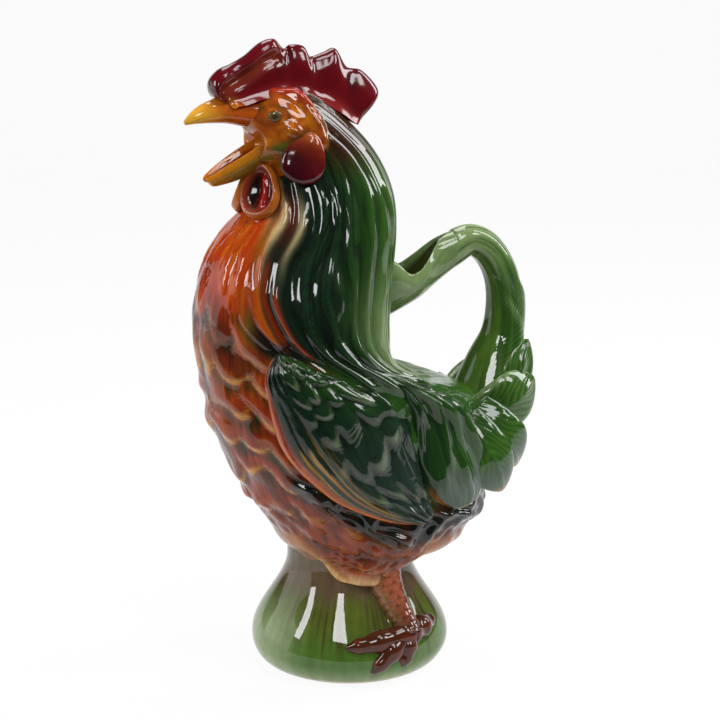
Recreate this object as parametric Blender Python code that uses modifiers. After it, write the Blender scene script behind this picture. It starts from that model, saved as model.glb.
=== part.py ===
"""Rooster pitcher: a glazed earthenware jug in the form of a crowing cockerel.

The bird stands on a flared grassy pedestal. It is filled through an open lip behind the neck, which
runs up into the arched tail that serves as the handle, and it pours through the open beak.
The jug has no moving piece: its clay parts are cast or pressed singly and luted together with slip.

Units are metres and +Z is up. The beak points along -X and the bird's left side faces -Y. Sizes along X
are measured from the pedestal's axis, and the origin lies under the middle of the jug's length.
"""

import math
from typing import NamedTuple

import bmesh
import bpy
from mathutils import Matrix, Vector


class Ring(NamedTuple):
    """One oval section of the vessel: its front point, its back point and half its breadth."""

    front_x: float
    front_z: float
    back_x: float
    back_z: float
    half_width: float


class Bead(NamedTuple):
    """One oval section of a solid limb in the middle plane: its centre and half sizes."""

    x: float
    z: float
    half_depth: float
    half_width: float


class Trough(NamedTuple):
    """One section of an open channel: the middle of its rim, then depth and half breadth out- and inside."""

    x: float
    z: float
    depth: float
    half_width: float
    bore_depth: float
    bore_half_width: float


class Plume(NamedTuple):
    """A feather: its root, its tip, how far it bows outwards, its breadth and its thickness."""

    root: tuple
    tip: tuple
    bow: float
    width: float
    thickness: float


# Driving dimensions
WALL = 0.0045
SEAM = 0.0003
SEAT = 0.0004

PEDESTAL_HEIGHT = 0.0610
WAIST_RADIUS = 0.0335
FLARE_RADIUS = 0.0535
FLARE_HEIGHT = 0.0140
FOOT_RADIUS = 0.0392
FOOT_RING_WIDTH = 0.0060
FOOT_RECESS = 0.0025
PEDESTAL_WALL = 0.0050
PEDESTAL_FLOOR = 0.0080

# Sections of the hollow vessel, from just under the pedestal's top up to the mouth
SOCKET_DEPTH = 0.0065
SOCKET_BOTTOM = PEDESTAL_HEIGHT - SOCKET_DEPTH
SOCKET = Ring(-WAIST_RADIUS, SOCKET_BOTTOM, WAIST_RADIUS, SOCKET_BOTTOM, WAIST_RADIUS)
SKIRT = Ring(-0.0346, 0.0640, 0.0400, 0.0622, 0.0362)
HEM = Ring(-0.0375, 0.0710, 0.0600, 0.0660, 0.0415)
BELLY = Ring(-0.0510, 0.0920, 0.0705, 0.0800, 0.0472)
FLANK = Ring(-0.0635, 0.1115, 0.0758, 0.0990, 0.0500)
RUMP = Ring(-0.0748, 0.1360, 0.0765, 0.1220, 0.0515)
WING_LINE = Ring(-0.0813, 0.1620, 0.0735, 0.1425, 0.0518)
BREAST = Ring(-0.0846, 0.1900, 0.0565, 0.1522, 0.0516)
SADDLE = Ring(-0.0838, 0.2080, 0.0365, 0.1556, 0.0508)
SHOULDER = Ring(-0.0785, 0.2260, 0.0205, 0.1665, 0.0490)
NECK_FOOT = Ring(-0.0705, 0.2390, 0.0172, 0.1850, 0.0450)
NECK_LOW = Ring(-0.0608, 0.2490, 0.0208, 0.2110, 0.0405)
NECK_HIGH = Ring(-0.0535, 0.2570, 0.0240, 0.2360, 0.0362)
NAPE = Ring(-0.0490, 0.2640, 0.0222, 0.2595, 0.0318)
JAW = Ring(-0.0470, 0.2695, 0.0125, 0.2805, 0.0275)
EAR = Ring(-0.0480, 0.2735, -0.0048, 0.2990, 0.0246)
CROWN = Ring(-0.0505, 0.2760, -0.0240, 0.3130, 0.0230)
BROW = Ring(-0.0530, 0.2775, -0.0425, 0.3165, 0.0205)
FOREHEAD = Ring(-0.0555, 0.2787, -0.0555, 0.3095, 0.0168)
MOUTH = Ring(-0.0575, 0.2796, -0.0605, 0.2985, 0.0126)
VESSEL = (
    SOCKET, SKIRT, HEM, BELLY, FLANK, RUMP, WING_LINE, BREAST, SADDLE, SHOULDER, NECK_FOOT,
    NECK_LOW, NECK_HIGH, NAPE, JAW, EAR, CROWN, BROW, FOREHEAD, MOUTH,
)

# Feathers pressed into the skin; a place counts the vessel's sections from the socket
HACKLE_STRANDS = 10
STRAND_HEIGHT = 0.0024
STRAND_FADE = (0.6, 1.2)
CAPE_LIFT = 0.0016
CAPE_LIFT_REACH = 0.6
HACKLE_TURN = 0.62
HACKLE_TAPER = 0.065
HACKLE_SPREAD = 0.15
HACKLE_CURVE = 1.3
HACKLE_TURN_LIMITS = (0.30, 1.05)
HACKLE_TOP = 14.2
CAPE_PLACE = 8.3
CAPE_FRONT_DROP = 0.95
CAPE_FLANK_DROP = 0.75
CAPE_FLANK_SHARES = (0.05, 0.30)
CAPE_BACK_RISE = 1.0
CAPE_BACK_SHARES = (0.45, 0.70)
HALF_TUFTS = 6
TUFT_LENGTH = 0.0190
TUFT_HEIGHT = 0.0026
TUFT_GAP_SHARE = 0.4
TUFT_HOLLOW_SHARE = 0.15
TUFT_LIP = 0.08
TUFT_DROOP = 0.24
BELLY_PLACES = (4.2, 3.4)

# The open filling lip behind the neck, which narrows to nothing where the tail begins
LIP = (
    Trough(0.0080, 0.2260, 0.0400, 0.0190, 0.0364, 0.0154),
    Trough(0.0200, 0.2200, 0.0310, 0.0178, 0.0274, 0.0142),
    Trough(0.0310, 0.2120, 0.0184, 0.0150, 0.0148, 0.0114),
    Trough(0.0420, 0.2162, 0.0176, 0.0126, 0.0116, 0.0080),
    Trough(0.0520, 0.2242, 0.0188, 0.0104, 0.0074, 0.0048),
    Trough(0.0600, 0.2318, 0.0205, 0.0085, 0.0030, 0.0022),
)

# The arched tail, which is the handle, from the lip down into the rump
TAIL_ARCH = (
    Bead(0.0604, 0.2215, 0.0103, 0.0085),
    Bead(0.0705, 0.2262, 0.0086, 0.0082),
    Bead(0.0798, 0.2228, 0.0088, 0.0084),
    Bead(0.0872, 0.2145, 0.0090, 0.0088),
    Bead(0.0922, 0.2030, 0.0094, 0.0092),
    Bead(0.0945, 0.1880, 0.0106, 0.0102),
    Bead(0.0932, 0.1720, 0.0118, 0.0125),
    Bead(0.0880, 0.1560, 0.0150, 0.0165),
    Bead(0.0815, 0.1380, 0.0165, 0.0210),
    Bead(0.0740, 0.1180, 0.0150, 0.0235),
    Bead(0.0640, 0.1000, 0.0100, 0.0200),
)

# Feathers of the left side of the tail, from the uppermost one to the lowest one
TAIL_PLUMES = (
    Plume((0.0840, -0.0120, 0.1320), (0.1015, -0.0150, 0.1690), 0.0040, 0.0180, 0.0110),
    Plume((0.0720, -0.0190, 0.1330), (0.1030, -0.0210, 0.1480), 0.0060, 0.0300, 0.0130),
    Plume((0.0620, -0.0280, 0.1360), (0.0850, -0.0310, 0.1070), 0.0070, 0.0280, 0.0130),
    Plume((0.0540, -0.0330, 0.1340), (0.0740, -0.0360, 0.0955), 0.0060, 0.0260, 0.0120),
)

WING_THICKNESS = 0.0052
WING_OUTLINE = (
    (-0.0665, 0.1700), (-0.0605, 0.1400), (-0.0490, 0.1235), (-0.0290, 0.1060), (-0.0050, 0.0950),
    (0.0110, 0.0885), (0.0215, 0.0950), (0.0170, 0.1180), (0.0140, 0.1400), (0.0050, 0.1570),
    (-0.0225, 0.1760), (-0.0560, 0.1870),
)
SADDLE_THICKNESS = 0.0064
SADDLE_OUTLINE = (
    (0.0185, 0.1550), (0.0180, 0.1330), (0.0195, 0.1160), (0.0280, 0.0990), (0.0420, 0.0915),
    (0.0550, 0.1020), (0.0570, 0.1210), (0.0510, 0.1370), (0.0350, 0.1540),
)
RELIEF_ROOT = 0.0020

COMB_THICKNESS = 0.0110
COMB_ROUNDING = 0.0035
COMB_BASE_DROP = 0.0120
COMB_LOBES = (
    (-0.0690, 0.3100), (-0.0762, 0.3130), (-0.0780, 0.3200), (-0.0735, 0.3256), (-0.0665, 0.3285),
    (-0.0585, 0.3325), (-0.0500, 0.3385), (-0.0425, 0.3398), (-0.0362, 0.3345), (-0.0325, 0.3362),
    (-0.0255, 0.3352), (-0.0215, 0.3298), (-0.0140, 0.3315), (-0.0075, 0.3330), (-0.0015, 0.3265),
    (0.0075, 0.3205), (0.0160, 0.3120), (0.0150, 0.3060), (0.0070, 0.2995),
)

UPPER_BEAK = (
    Bead(-0.0560, 0.3030, 0.0085, 0.0110),
    Bead(-0.0660, 0.3046, 0.0078, 0.0096),
    Bead(-0.0750, 0.3046, 0.0063, 0.0070),
    Bead(-0.0830, 0.3030, 0.0044, 0.0043),
    Bead(-0.0905, 0.2998, 0.0010, 0.0011),
)
LOWER_BEAK = (
    Trough(-0.0510, 0.2868, 0.0120, 0.0120, 0.0092, 0.0096),
    Trough(-0.0610, 0.2812, 0.0098, 0.0104, 0.0070, 0.0080),
    Trough(-0.0700, 0.2758, 0.0068, 0.0074, 0.0042, 0.0050),
    Trough(-0.0790, 0.2704, 0.0026, 0.0026, 0.0012, 0.0012),
)
GAPE = (
    (-0.0500, 0.2862), (-0.0555, 0.2905), (-0.0630, 0.2955), (-0.0900, 0.2985),
    (-0.0900, 0.2640), (-0.0620, 0.2803), (-0.0545, 0.2845),
)
GAPE_HALF_WIDTH = 0.0300

# Pieces that lie on the head: where they sit and half their length, breadth and thickness
WATTLE_CENTRE = (-0.0532, -0.0092, 0.2640)
WATTLE_DOWN = (-0.24, -0.30, -0.92)
WATTLE_OUT = (-0.82, -0.55, 0.10)
WATTLE_HALF_SIZES = (0.0150, 0.0112, 0.0046)
LOBE_CENTRE = (-0.0360, -0.0262, 0.2805)
LOBE_DOWN = (-0.35, -0.10, -0.93)
LOBE_OUT = (-0.20, -0.98, 0.10)
LOBE_HALF_SIZES = (0.0110, 0.0106, 0.0050)
EYE_CENTRE = (-0.0490, -0.0180, 0.3030)
EYE_DOWN = (0.0, 0.0, -1.0)
EYE_OUT = (-0.42, -0.87, 0.25)
EYE_HALF_SIZES = (0.0036, 0.0042, 0.0026)

# Legs and toes: points as seen from the side, with their radii; they lie against the pedestal
LEG_LINE = ((0.0045, 0.0600), (0.0055, 0.0500), (0.0085, 0.0395), (0.0115, 0.0310))
LEG_RADII = (0.0105, 0.0085, 0.0066, 0.0060)
LEG_STANDOFF = 0.0010
ANKLE = (0.0125, 0.0270)
TOE_RADII = (0.0062, 0.0052, 0.0046, 0.0024)
TOE_BEND = 1.4
TOES = ((-0.0185, 0.0210), (-0.0100, 0.0100), (0.0076, 0.0110), (0.0325, 0.0285))

ROUND_SEGMENTS = 28
NECK_ROWS = 7
HEAD_STEPS = 1
ROOM_SEGMENTS = 18
LIMB_SEGMENTS = 12
PLUME_SEGMENTS = 8
TOE_SEGMENTS = 6
PLUME_STEPS = 5

GLAZES = {
    "green": ((0.045, 0.115, 0.030), 0.10),
    "dark_green": ((0.020, 0.060, 0.040), 0.10),
    "orange": ((0.420, 0.085, 0.012), 0.10),
    "amber": ((0.520, 0.230, 0.025), 0.10),
    "red": ((0.130, 0.008, 0.010), 0.10),
    "brown": ((0.090, 0.030, 0.020), 0.12),
    "grass": ((0.085, 0.190, 0.040), 0.10),
}


def clear_scene():
    """Empties the file and makes the collections for the pieces and for the cutters."""
    for old in list(bpy.data.objects):
        bpy.data.objects.remove(old)
    pieces = bpy.data.collections.new("rooster_pitcher")
    cutters = bpy.data.collections.new("cutters")
    for collection in (pieces, cutters):
        bpy.context.scene.collection.children.link(collection)
    cutters.hide_render = True
    return pieces, cutters


PIECES, CUTTERS = clear_scene()
AXIS = bpy.data.objects.new("pedestal_axis", None)
PIECES.objects.link(AXIS)


def glaze(name):
    """The glossy glaze of that name, made once."""
    found = bpy.data.materials.get(name)
    if found:
        return found
    colour, roughness = GLAZES[name]
    made = bpy.data.materials.new(name)
    made.use_nodes = True
    shader = made.node_tree.nodes["Principled BSDF"]
    shader.inputs["Base Color"].default_value = (*colour, 1.0)
    shader.inputs["Roughness"].default_value = roughness
    shader.inputs["Metallic"].default_value = 0.0
    return made


def scratch(mesh, name="cutter"):
    """An object that only helps to shape others."""
    made = bpy.data.objects.new(name, mesh)
    CUTTERS.objects.link(made)
    made.hide_render = True
    made.display_type = "WIRE"
    return made


def finish(name, mesh, glaze_name, smooth_angle=40.0):
    """Turns a finished mesh into a named piece of the jug, standing on the pedestal's axis."""
    mesh.name = name
    mesh.materials.clear()
    mesh.materials.append(glaze(glaze_name))
    mesh.shade_smooth()
    mesh.set_sharp_from_angle(angle=math.radians(smooth_angle))
    made = bpy.data.objects.new(name, mesh)
    PIECES.objects.link(made)
    made.parent = AXIS
    return made


def evaluated_mesh(holder):
    """The mesh of an object with its modifiers applied."""
    bpy.context.view_layer.update()
    graph = bpy.context.evaluated_depsgraph_get()
    return bpy.data.meshes.new_from_object(holder.evaluated_get(graph))


def grid_mesh(rings, closed_round=True, caps=True):
    """A loft through rings of equal length, closed round each ring and capped at both ends."""
    form = bmesh.new()
    rows = [[form.verts.new(point) for point in ring] for ring in rings]
    count = len(rings[0])
    spans = count if closed_round else count - 1
    for lower, upper in zip(rows, rows[1:]):
        for i in range(spans):
            j = (i + 1) % count
            form.faces.new((lower[i], lower[j], upper[j], upper[i]))
    if caps:
        form.faces.new(list(reversed(rows[0])))
        form.faces.new(rows[-1])
    bmesh.ops.recalc_face_normals(form, faces=form.faces)
    mesh = bpy.data.meshes.new("loft")
    form.to_mesh(mesh)
    form.free()
    return mesh


def triangulated(mesh):
    """The mesh with flat faces only, so that a cut through it stays exact."""
    form = bmesh.new()
    form.from_mesh(mesh)
    bmesh.ops.triangulate(form, faces=form.faces)
    form.to_mesh(mesh)
    form.free()
    return mesh


def boolean(mesh, other, operation):
    """The mesh with another one cut from it or joined to it."""
    holder = scratch(triangulated(mesh), "work")
    tool = scratch(triangulated(other), "tool")
    modifier = holder.modifiers.new(operation.lower(), "BOOLEAN")
    modifier.operation = operation
    modifier.object = tool
    made = evaluated_mesh(holder)
    bpy.data.objects.remove(holder)
    bpy.data.objects.remove(tool)
    return made


def largest_body(mesh):
    """The mesh without the loose chips that a cut can leave beside the main body."""
    form = bmesh.new()
    form.from_mesh(mesh)
    bmesh.ops.remove_doubles(form, verts=form.verts, dist=1e-6)
    unseen = set(form.verts)
    bodies = []
    while unseen:
        start = unseen.pop()
        body, front = {start}, [start]
        while front:
            for edge in front.pop().link_edges:
                for vert in edge.verts:
                    if vert in unseen:
                        unseen.discard(vert)
                        body.add(vert)
                        front.append(vert)
        bodies.append(body)
    bodies.sort(key=len)
    chips = [vert for body in bodies[:-1] for vert in body]
    bmesh.ops.delete(form, geom=chips, context="VERTS")
    form.to_mesh(mesh)
    form.free()
    return mesh


def grown(mesh, distance):
    """A copy of the mesh with its skin moved outwards, which cuts a seat with that clearance."""
    holder = scratch(mesh.copy(), "grown")
    modifier = holder.modifiers.new("grow", "DISPLACE")
    modifier.strength = distance
    modifier.mid_level = 0.0
    made = evaluated_mesh(holder)
    bpy.data.objects.remove(holder)
    return made


def seated(mesh, *neighbours):
    """The mesh cut back to sit on its neighbours with the seat's clearance."""
    for neighbour in neighbours:
        mesh = boolean(mesh, grown(neighbour, SEAT), "DIFFERENCE")
    return largest_body(mesh)


def mirrored(mesh):
    """The mesh of the bird's right side, from the one of its left side."""
    made = mesh.copy()
    made.transform(Matrix.Scale(-1.0, 4, (0.0, 1.0, 0.0)))
    made.flip_normals()
    return made


def pair(name, mesh, glaze_name):
    """The left and the right one of a piece that the bird has twice."""
    other = mirrored(mesh)
    finish(f"{name}_left", mesh, glaze_name)
    finish(f"{name}_right", other, glaze_name)


def eased(low, high, value):
    """A smooth step from 0 at low to 1 at high."""
    t = min(max((value - low) / (high - low), 0.0), 1.0)
    return t * t * (3 - 2 * t)


def along(stations, position):
    """A smooth curve through tuples of numbers: position counts the stations from the first one."""
    last = len(stations) - 1
    index = min(int(position), last - 1)
    t = position - index
    before = stations[max(index - 1, 0)]
    after = stations[min(index + 2, last)]
    blended = []
    for a, b, c, d in zip(before, stations[index], stations[index + 1], after):
        slope_in = (c - a) / 2
        slope_out = (d - b) / 2
        rise = c - b
        blended.append(
            b + t * (slope_in + t * ((3 * rise - 2 * slope_in - slope_out)
                                     + t * (slope_in + slope_out - 2 * rise)))
        )
    return type(stations[0])(*blended)


def smooth_run(stations, steps):
    """The stations with that many steps between each two."""
    count = (len(stations) - 1) * steps
    return [along(stations, i / steps) for i in range(count + 1)]


def vessel_point(ring, turn):
    """A point of a vessel section: turn 0 is the front and half a turn the back, by way of the left side."""
    front = Vector((ring.front_x, 0.0, ring.front_z))
    back = Vector((ring.back_x, 0.0, ring.back_z))
    middle = (front + back) / 2
    return middle + (front - back) / 2 * math.cos(turn) - Vector((0.0, ring.half_width, 0.0)) * math.sin(turn)


def round_rings(sections, segments):
    """Sections of the vessel as rings of points."""
    turns = [2 * math.pi * i / segments for i in range(segments)]
    return [[vessel_point(section, turn) for turn in turns] for section in sections]


def room_mesh():
    """The hollow inside the vessel, a wall's thickness under the skin and carried out through the mouth."""
    beyond = Ring(*(2 * here - before for here, before in zip(MOUTH, FOREHEAD)))
    return grown(grid_mesh(round_rings(VESSEL + (beyond,), ROOM_SEGMENTS)), -WALL)


def skin_point(place, turn, height):
    """A point over the vessel's skin, at a place along it and a turn round it."""
    step = 1e-3
    point = vessel_point(along(VESSEL, place), turn)
    upward = vessel_point(along(VESSEL, place + step), turn) - point
    sideways = vessel_point(along(VESSEL, place), turn + step) - point
    return point + sideways.cross(upward).normalized() * height


def hackle_edge(place):
    """The turn at which the hackle begins, which lies farther back lower down."""
    least, most = HACKLE_TURN_LIMITS
    above = place - VESSEL.index(SHOULDER)
    if above > 0:
        return max(HACKLE_TURN - HACKLE_TAPER * above, least)
    return min(HACKLE_TURN + HACKLE_SPREAD * (-above) ** HACKLE_CURVE, most)


def strand_share(column):
    """How far a column of the feathered skin lies from the hackle's edge to the back, from 0 to 1."""
    return max(column - HALF_TUFTS, 0) / (2 * HACKLE_STRANDS)


def cape_end(column):
    """The place where the hackle ends over a column: lowest on the flank."""
    share = strand_share(column)
    front = CAPE_FRONT_DROP * eased(HALF_TUFTS / 2, HALF_TUFTS, column)
    flank = CAPE_FLANK_DROP * eased(*CAPE_FLANK_SHARES, share)
    back = CAPE_BACK_RISE * eased(*CAPE_BACK_SHARES, share)
    return CAPE_PLACE - front - flank + back


def tuft_places():
    """The places of the tufts' lips, a tuft's length apart up the breast line."""
    places = []
    step = 0.02
    place = VESSEL.index(HEM)
    run = 0.0
    while place < CAPE_PLACE - TUFT_DROOP - step:
        here, there = along(VESSEL, place), along(VESSEL, place + step)
        run += math.hypot(there.front_x - here.front_x, there.front_z - here.front_z)
        place += step
        if run >= TUFT_LENGTH:
            run -= TUFT_LENGTH
            places.append(place)
    return places


def tuft_row(columns, lip, number):
    """Places and heights just under and over a row of tufts' lips; every other column is a tuft's middle."""
    under, over = [], []
    for column in columns:
        middle = (column + number) % 2 == 0
        scale = cape_end(column) / CAPE_PLACE
        place = (lip - TUFT_DROOP * middle) * scale
        share = 1.0 if column <= HALF_TUFTS else eased(*BELLY_PLACES, place)
        height = TUFT_HEIGHT * share
        under.append((place - TUFT_LIP, -TUFT_HOLLOW_SHARE * height))
        over.append((place + TUFT_LIP, height if middle else TUFT_GAP_SHARE * height))
    return under, over


def strand_row(columns, rise):
    """Places and heights of a row across the hackle: every other column of it is a strand's ridge."""
    row = []
    for column in columns:
        start = cape_end(column) + TUFT_LIP
        strand = column - HALF_TUFTS
        height = 0.0
        if strand > 0:
            height = CAPE_LIFT * eased(CAPE_LIFT_REACH, 0.0, rise)
            height += STRAND_HEIGHT * (strand % 2 - 0.5) * (1 - eased(*STRAND_FADE, rise))
        row.append((start + (HACKLE_TOP - start) * rise, height))
    return row


def feathered_rings():
    """The vessel's skin with its main feathers: tufts on breast and belly, strands on the neck."""
    columns = range(HALF_TUFTS + 2 * HACKLE_STRANDS + 1)
    rows = [[(place, 0.0) for _ in columns] for place in range(VESSEL.index(HEM))]
    for number, lip in enumerate(tuft_places()):
        rows += tuft_row(columns, lip, number)
    rows.append([(cape_end(column) - TUFT_LIP, 0.0) for column in columns])
    rows += [strand_row(columns, i / NECK_ROWS) for i in range(NECK_ROWS + 1)]
    first, last = VESSEL.index(EAR), VESSEL.index(MOUTH)
    head_rows = (last - first) * HEAD_STEPS
    rows += [[(first + i / HEAD_STEPS, 0.0) for _ in columns] for i in range(head_rows + 1)]
    rings = []
    for row in rows:
        left = []
        for column, (place, height) in enumerate(row):
            edge = hackle_edge(place)
            turn = edge * min(column / HALF_TUFTS, 1.0) + (math.pi - edge) * strand_share(column)
            left.append(skin_point(place, turn, height))
        right = [Vector((point.x, -point.y, point.z)) for point in reversed(left[1:-1])]
        rings.append(left + right)
    return rings


def seam_plane(front, back, shift):
    """The plane through one section's front and another's back, moved by shift towards the mouth."""
    chord = Vector((back.back_x - front.front_x, 0.0, back.back_z - front.front_z))
    normal = Vector((-chord.z, 0.0, chord.x)).normalized()
    return Vector((front.front_x, 0.0, front.front_z)) + normal * shift, normal


def kept_side(mesh, plane, keep_above):
    """The part of a closed mesh on one side of a plane, closed again on the plane."""
    point, normal = plane
    form = bmesh.new()
    form.from_mesh(mesh)
    cut = bmesh.ops.bisect_plane(
        form, geom=form.verts[:] + form.edges[:] + form.faces[:], plane_co=point, plane_no=normal,
        clear_outer=not keep_above, clear_inner=keep_above,
    )
    edges = [item for item in cut["geom_cut"] if isinstance(item, bmesh.types.BMEdge)]
    bmesh.ops.triangle_fill(form, edges=edges, use_beauty=True)
    bmesh.ops.recalc_face_normals(form, faces=form.faces)
    made = bpy.data.meshes.new("side")
    form.to_mesh(made)
    form.free()
    return made


def channel_arc(station, up, depth, half_width):
    """Half an oval under the rim of a channel section, from its left edge to its right one."""
    rim = Vector((station.x, 0.0, station.z))
    steps = LIMB_SEGMENTS // 2
    points = []
    for i in range(steps + 1):
        angle = math.pi * i / steps
        side = Vector((0.0, -half_width * math.cos(angle), 0.0))
        points.append(rim + side - up * depth * math.sin(angle))
    return points


def channel_mesh(stations, upright):
    """An open channel through its stations, with every section upright or else square to its line."""
    rings = []
    run = smooth_run(stations, 2)
    for i, station in enumerate(run):
        before, after = run[max(i - 1, 0)], run[min(i + 1, len(run) - 1)]
        up = Vector((0.0, 0.0, 1.0))
        if not upright:
            up = Vector((after.z - before.z, 0.0, before.x - after.x)).normalized()
        outside = channel_arc(station, up, station.depth, station.half_width)
        inside = channel_arc(station, up, station.bore_depth, station.bore_half_width)
        rings.append(outside + list(reversed(inside)))
    return grid_mesh(rings)


def channel_bore(stations):
    """The room inside an upright channel, closed along its rim, as a cutter."""
    up = Vector((0.0, 0.0, 1.0))
    run = smooth_run(stations, 2)
    return grid_mesh([channel_arc(item, up, item.bore_depth, item.bore_half_width) for item in run])


def prism_mesh(points, half_width):
    """A prism across the bird with an outline in the middle plane."""
    return grid_mesh([[Vector((x, y, z)) for x, z in points] for y in (-half_width, half_width)])


def limb_mesh(stations, steps):
    """A solid limb in the middle plane with oval sections square to its line; its first end is upright."""
    rings = []
    run = smooth_run(stations, steps)
    for i, bead in enumerate(run):
        before, after = run[max(i - 1, 0)], run[min(i + 1, len(run) - 1)]
        tangent = Vector((after.x - before.x, 0.0, after.z - before.z)).normalized()
        if i == 0:
            tangent = Vector((math.copysign(1.0, tangent.x), 0.0, 0.0))
        across = Vector((-tangent.z, 0.0, tangent.x))
        centre = Vector((bead.x, 0.0, bead.z))
        ring = []
        for k in range(LIMB_SEGMENTS):
            angle = 2 * math.pi * k / LIMB_SEGMENTS
            ring.append(
                centre + across * bead.half_depth * math.cos(angle)
                + Vector((0.0, bead.half_width, 0.0)) * math.sin(angle)
            )
        rings.append(ring)
    return grid_mesh(rings)


def plume_mesh(plume):
    """A feather: lens-shaped sections along a bowed line, widest past its middle, with a round tip."""
    root, tip = Vector(plume.root), Vector(plume.tip)
    line = tip - root
    outward = Vector((0.0, -1.0, 0.0))
    flat = line.cross(outward).normalized()
    lift = flat.cross(line).normalized()
    if lift.y > 0:
        lift.negate()
    rings = []
    for i in range(PLUME_STEPS + 1):
        t = i / PLUME_STEPS
        share = math.sqrt(max(1.0 - ((t - 0.55) / (0.46 if t > 0.55 else 0.75)) ** 2, 0.02))
        centre = root + line * t + lift * plume.bow * math.sin(math.pi * t)
        ring = []
        for k in range(PLUME_SEGMENTS):
            angle = 2 * math.pi * k / PLUME_SEGMENTS
            ring.append(
                centre + flat * (plume.width / 2 * share * math.cos(angle))
                + lift * (plume.thickness / 2 * share * math.sin(angle))
            )
        rings.append(ring)
    return grid_mesh(rings)


def egg_mesh(centre, down, out, half_sizes):
    """A lens-shaped drop that hangs down and faces out: half_sizes are its length, breadth and thickness."""
    form = bmesh.new()
    bmesh.ops.create_uvsphere(form, u_segments=10, v_segments=6, radius=1.0)
    drop = Vector(down).normalized()
    face = (Vector(out) - drop * drop.dot(Vector(out))).normalized()
    side = drop.cross(face)
    length, breadth, thickness = half_sizes
    for vert in form.verts:
        x, y, z = vert.co
        vert.co = Vector(centre) + side * x * breadth + face * y * thickness + drop * z * length
    bmesh.ops.recalc_face_normals(form, faces=form.faces)
    mesh = bpy.data.meshes.new("egg")
    form.to_mesh(mesh)
    form.free()
    return mesh


def closed_outline(points, steps):
    """A smooth closed outline through points in the middle plane."""
    count = len(points)
    ring = []
    for i in range(count):
        a, b, c, d = (points[(i + k) % count] for k in (-1, 0, 1, 2))
        for step in range(steps):
            t = step / steps
            ring.append(tuple(
                q + t * ((r - p) / 2 + t * ((3 * (r - q) - (r - p) - (s - q) / 2)
                                            + t * ((r - p) / 2 + (s - q) / 2 - 2 * (r - q))))
                for p, q, r, s in zip(a, b, c, d)
            ))
    return ring


def outline_solid(points, thickness, rounding):
    """A plate in the middle plane with a filled outline and rounded edges."""
    curve = bpy.data.curves.new("outline", "CURVE")
    curve.dimensions = "2D"
    curve.fill_mode = "BOTH"
    curve.extrude = thickness / 2 - rounding
    curve.bevel_depth = rounding
    curve.bevel_resolution = 1
    curve.offset = -rounding
    spline = curve.splines.new("POLY")
    spline.points.add(len(points) - 1)
    for item, (x, z) in zip(spline.points, points):
        item.co = (x, z, 0.0, 1.0)
    spline.use_cyclic_u = True
    holder = scratch(curve, "plate")
    holder.rotation_euler = (math.radians(90.0), 0.0, 0.0)
    mesh = evaluated_mesh(holder)
    mesh.transform(Matrix.Rotation(math.radians(90.0), 4, "X"))
    bpy.data.objects.remove(holder)
    form = bmesh.new()
    form.from_mesh(mesh)
    bmesh.ops.remove_doubles(form, verts=form.verts, dist=1e-6)
    bmesh.ops.recalc_face_normals(form, faces=form.faces)
    form.to_mesh(mesh)
    form.free()
    return mesh


def relief_mesh(outline, target, thickness):
    """A raised field on the bird's left flank: an outline thrown onto the skin and thickened outwards."""
    form = bmesh.new()
    far_side = -0.3
    centre_x = sum(x for x, _ in outline) / len(outline)
    centre_z = sum(z for _, z in outline) / len(outline)
    shares = (0.35, 0.7, 0.93, 1.0)
    middle = form.verts.new((centre_x, far_side, centre_z))
    rows = []
    for share in shares:
        rows.append([
            form.verts.new((centre_x + (x - centre_x) * share, far_side, centre_z + (z - centre_z) * share))
            for x, z in outline
        ])
    count = len(outline)
    for i in range(count):
        j = (i + 1) % count
        form.faces.new((middle, rows[0][i], rows[0][j]))
        for lower, upper in zip(rows, rows[1:]):
            form.faces.new((lower[i], upper[i], upper[j], lower[j]))
    bmesh.ops.recalc_face_normals(form, faces=form.faces)
    if sum(face.normal.y for face in form.faces) > 0:
        bmesh.ops.reverse_faces(form, faces=form.faces)
    mesh = bpy.data.meshes.new("relief")
    form.to_mesh(mesh)
    form.free()
    skin = scratch(target.copy(), "skin")
    holder = scratch(mesh, "relief")
    rim = {vert.index for vert in mesh.vertices[-count:]}
    group = holder.vertex_groups.new(name="body")
    group.add([vert.index for vert in mesh.vertices if vert.index not in rim], 1.0, "REPLACE")
    group.add(sorted(rim), 0.35, "REPLACE")
    wrap = holder.modifiers.new("throw", "SHRINKWRAP")
    wrap.target = skin
    wrap.wrap_method = "PROJECT"
    wrap.use_project_y = True
    wrap.use_positive_direction = True
    wrap.use_negative_direction = False
    thicken = holder.modifiers.new("thicken", "SOLIDIFY")
    thicken.thickness = thickness
    thicken.offset = 1.0
    thicken.vertex_group = group.name
    made = evaluated_mesh(holder)
    bpy.data.objects.remove(holder)
    bpy.data.objects.remove(skin)
    return made


def pedestal_profile():
    """The half section of the pedestal in three runs: its inside, its outside and its underside."""
    steps = 5
    outside = []
    for i in range(steps + 1):
        z = PEDESTAL_HEIGHT - (PEDESTAL_HEIGHT - FLARE_HEIGHT) * i / steps
        outside.append((pedestal_radius(z), z))
    inside = [(0.0, PEDESTAL_FLOOR), (FLARE_RADIUS - 2 * PEDESTAL_WALL, PEDESTAL_FLOOR)]
    inside += [(radius - PEDESTAL_WALL, z) for radius, z in reversed(outside)]
    curl_steps = 3
    for i in range(1, curl_steps + 1):
        z = FLARE_HEIGHT * (1 - math.sin(math.pi / 2 * i / curl_steps))
        outside.append((pedestal_radius(z), z))
    underside = [
        (FOOT_RADIUS - FOOT_RING_WIDTH, 0.0),
        (FOOT_RADIUS - FOOT_RING_WIDTH - FOOT_RECESS, FOOT_RECESS),
        (0.0, FOOT_RECESS),
    ]
    return inside, outside, underside


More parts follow.
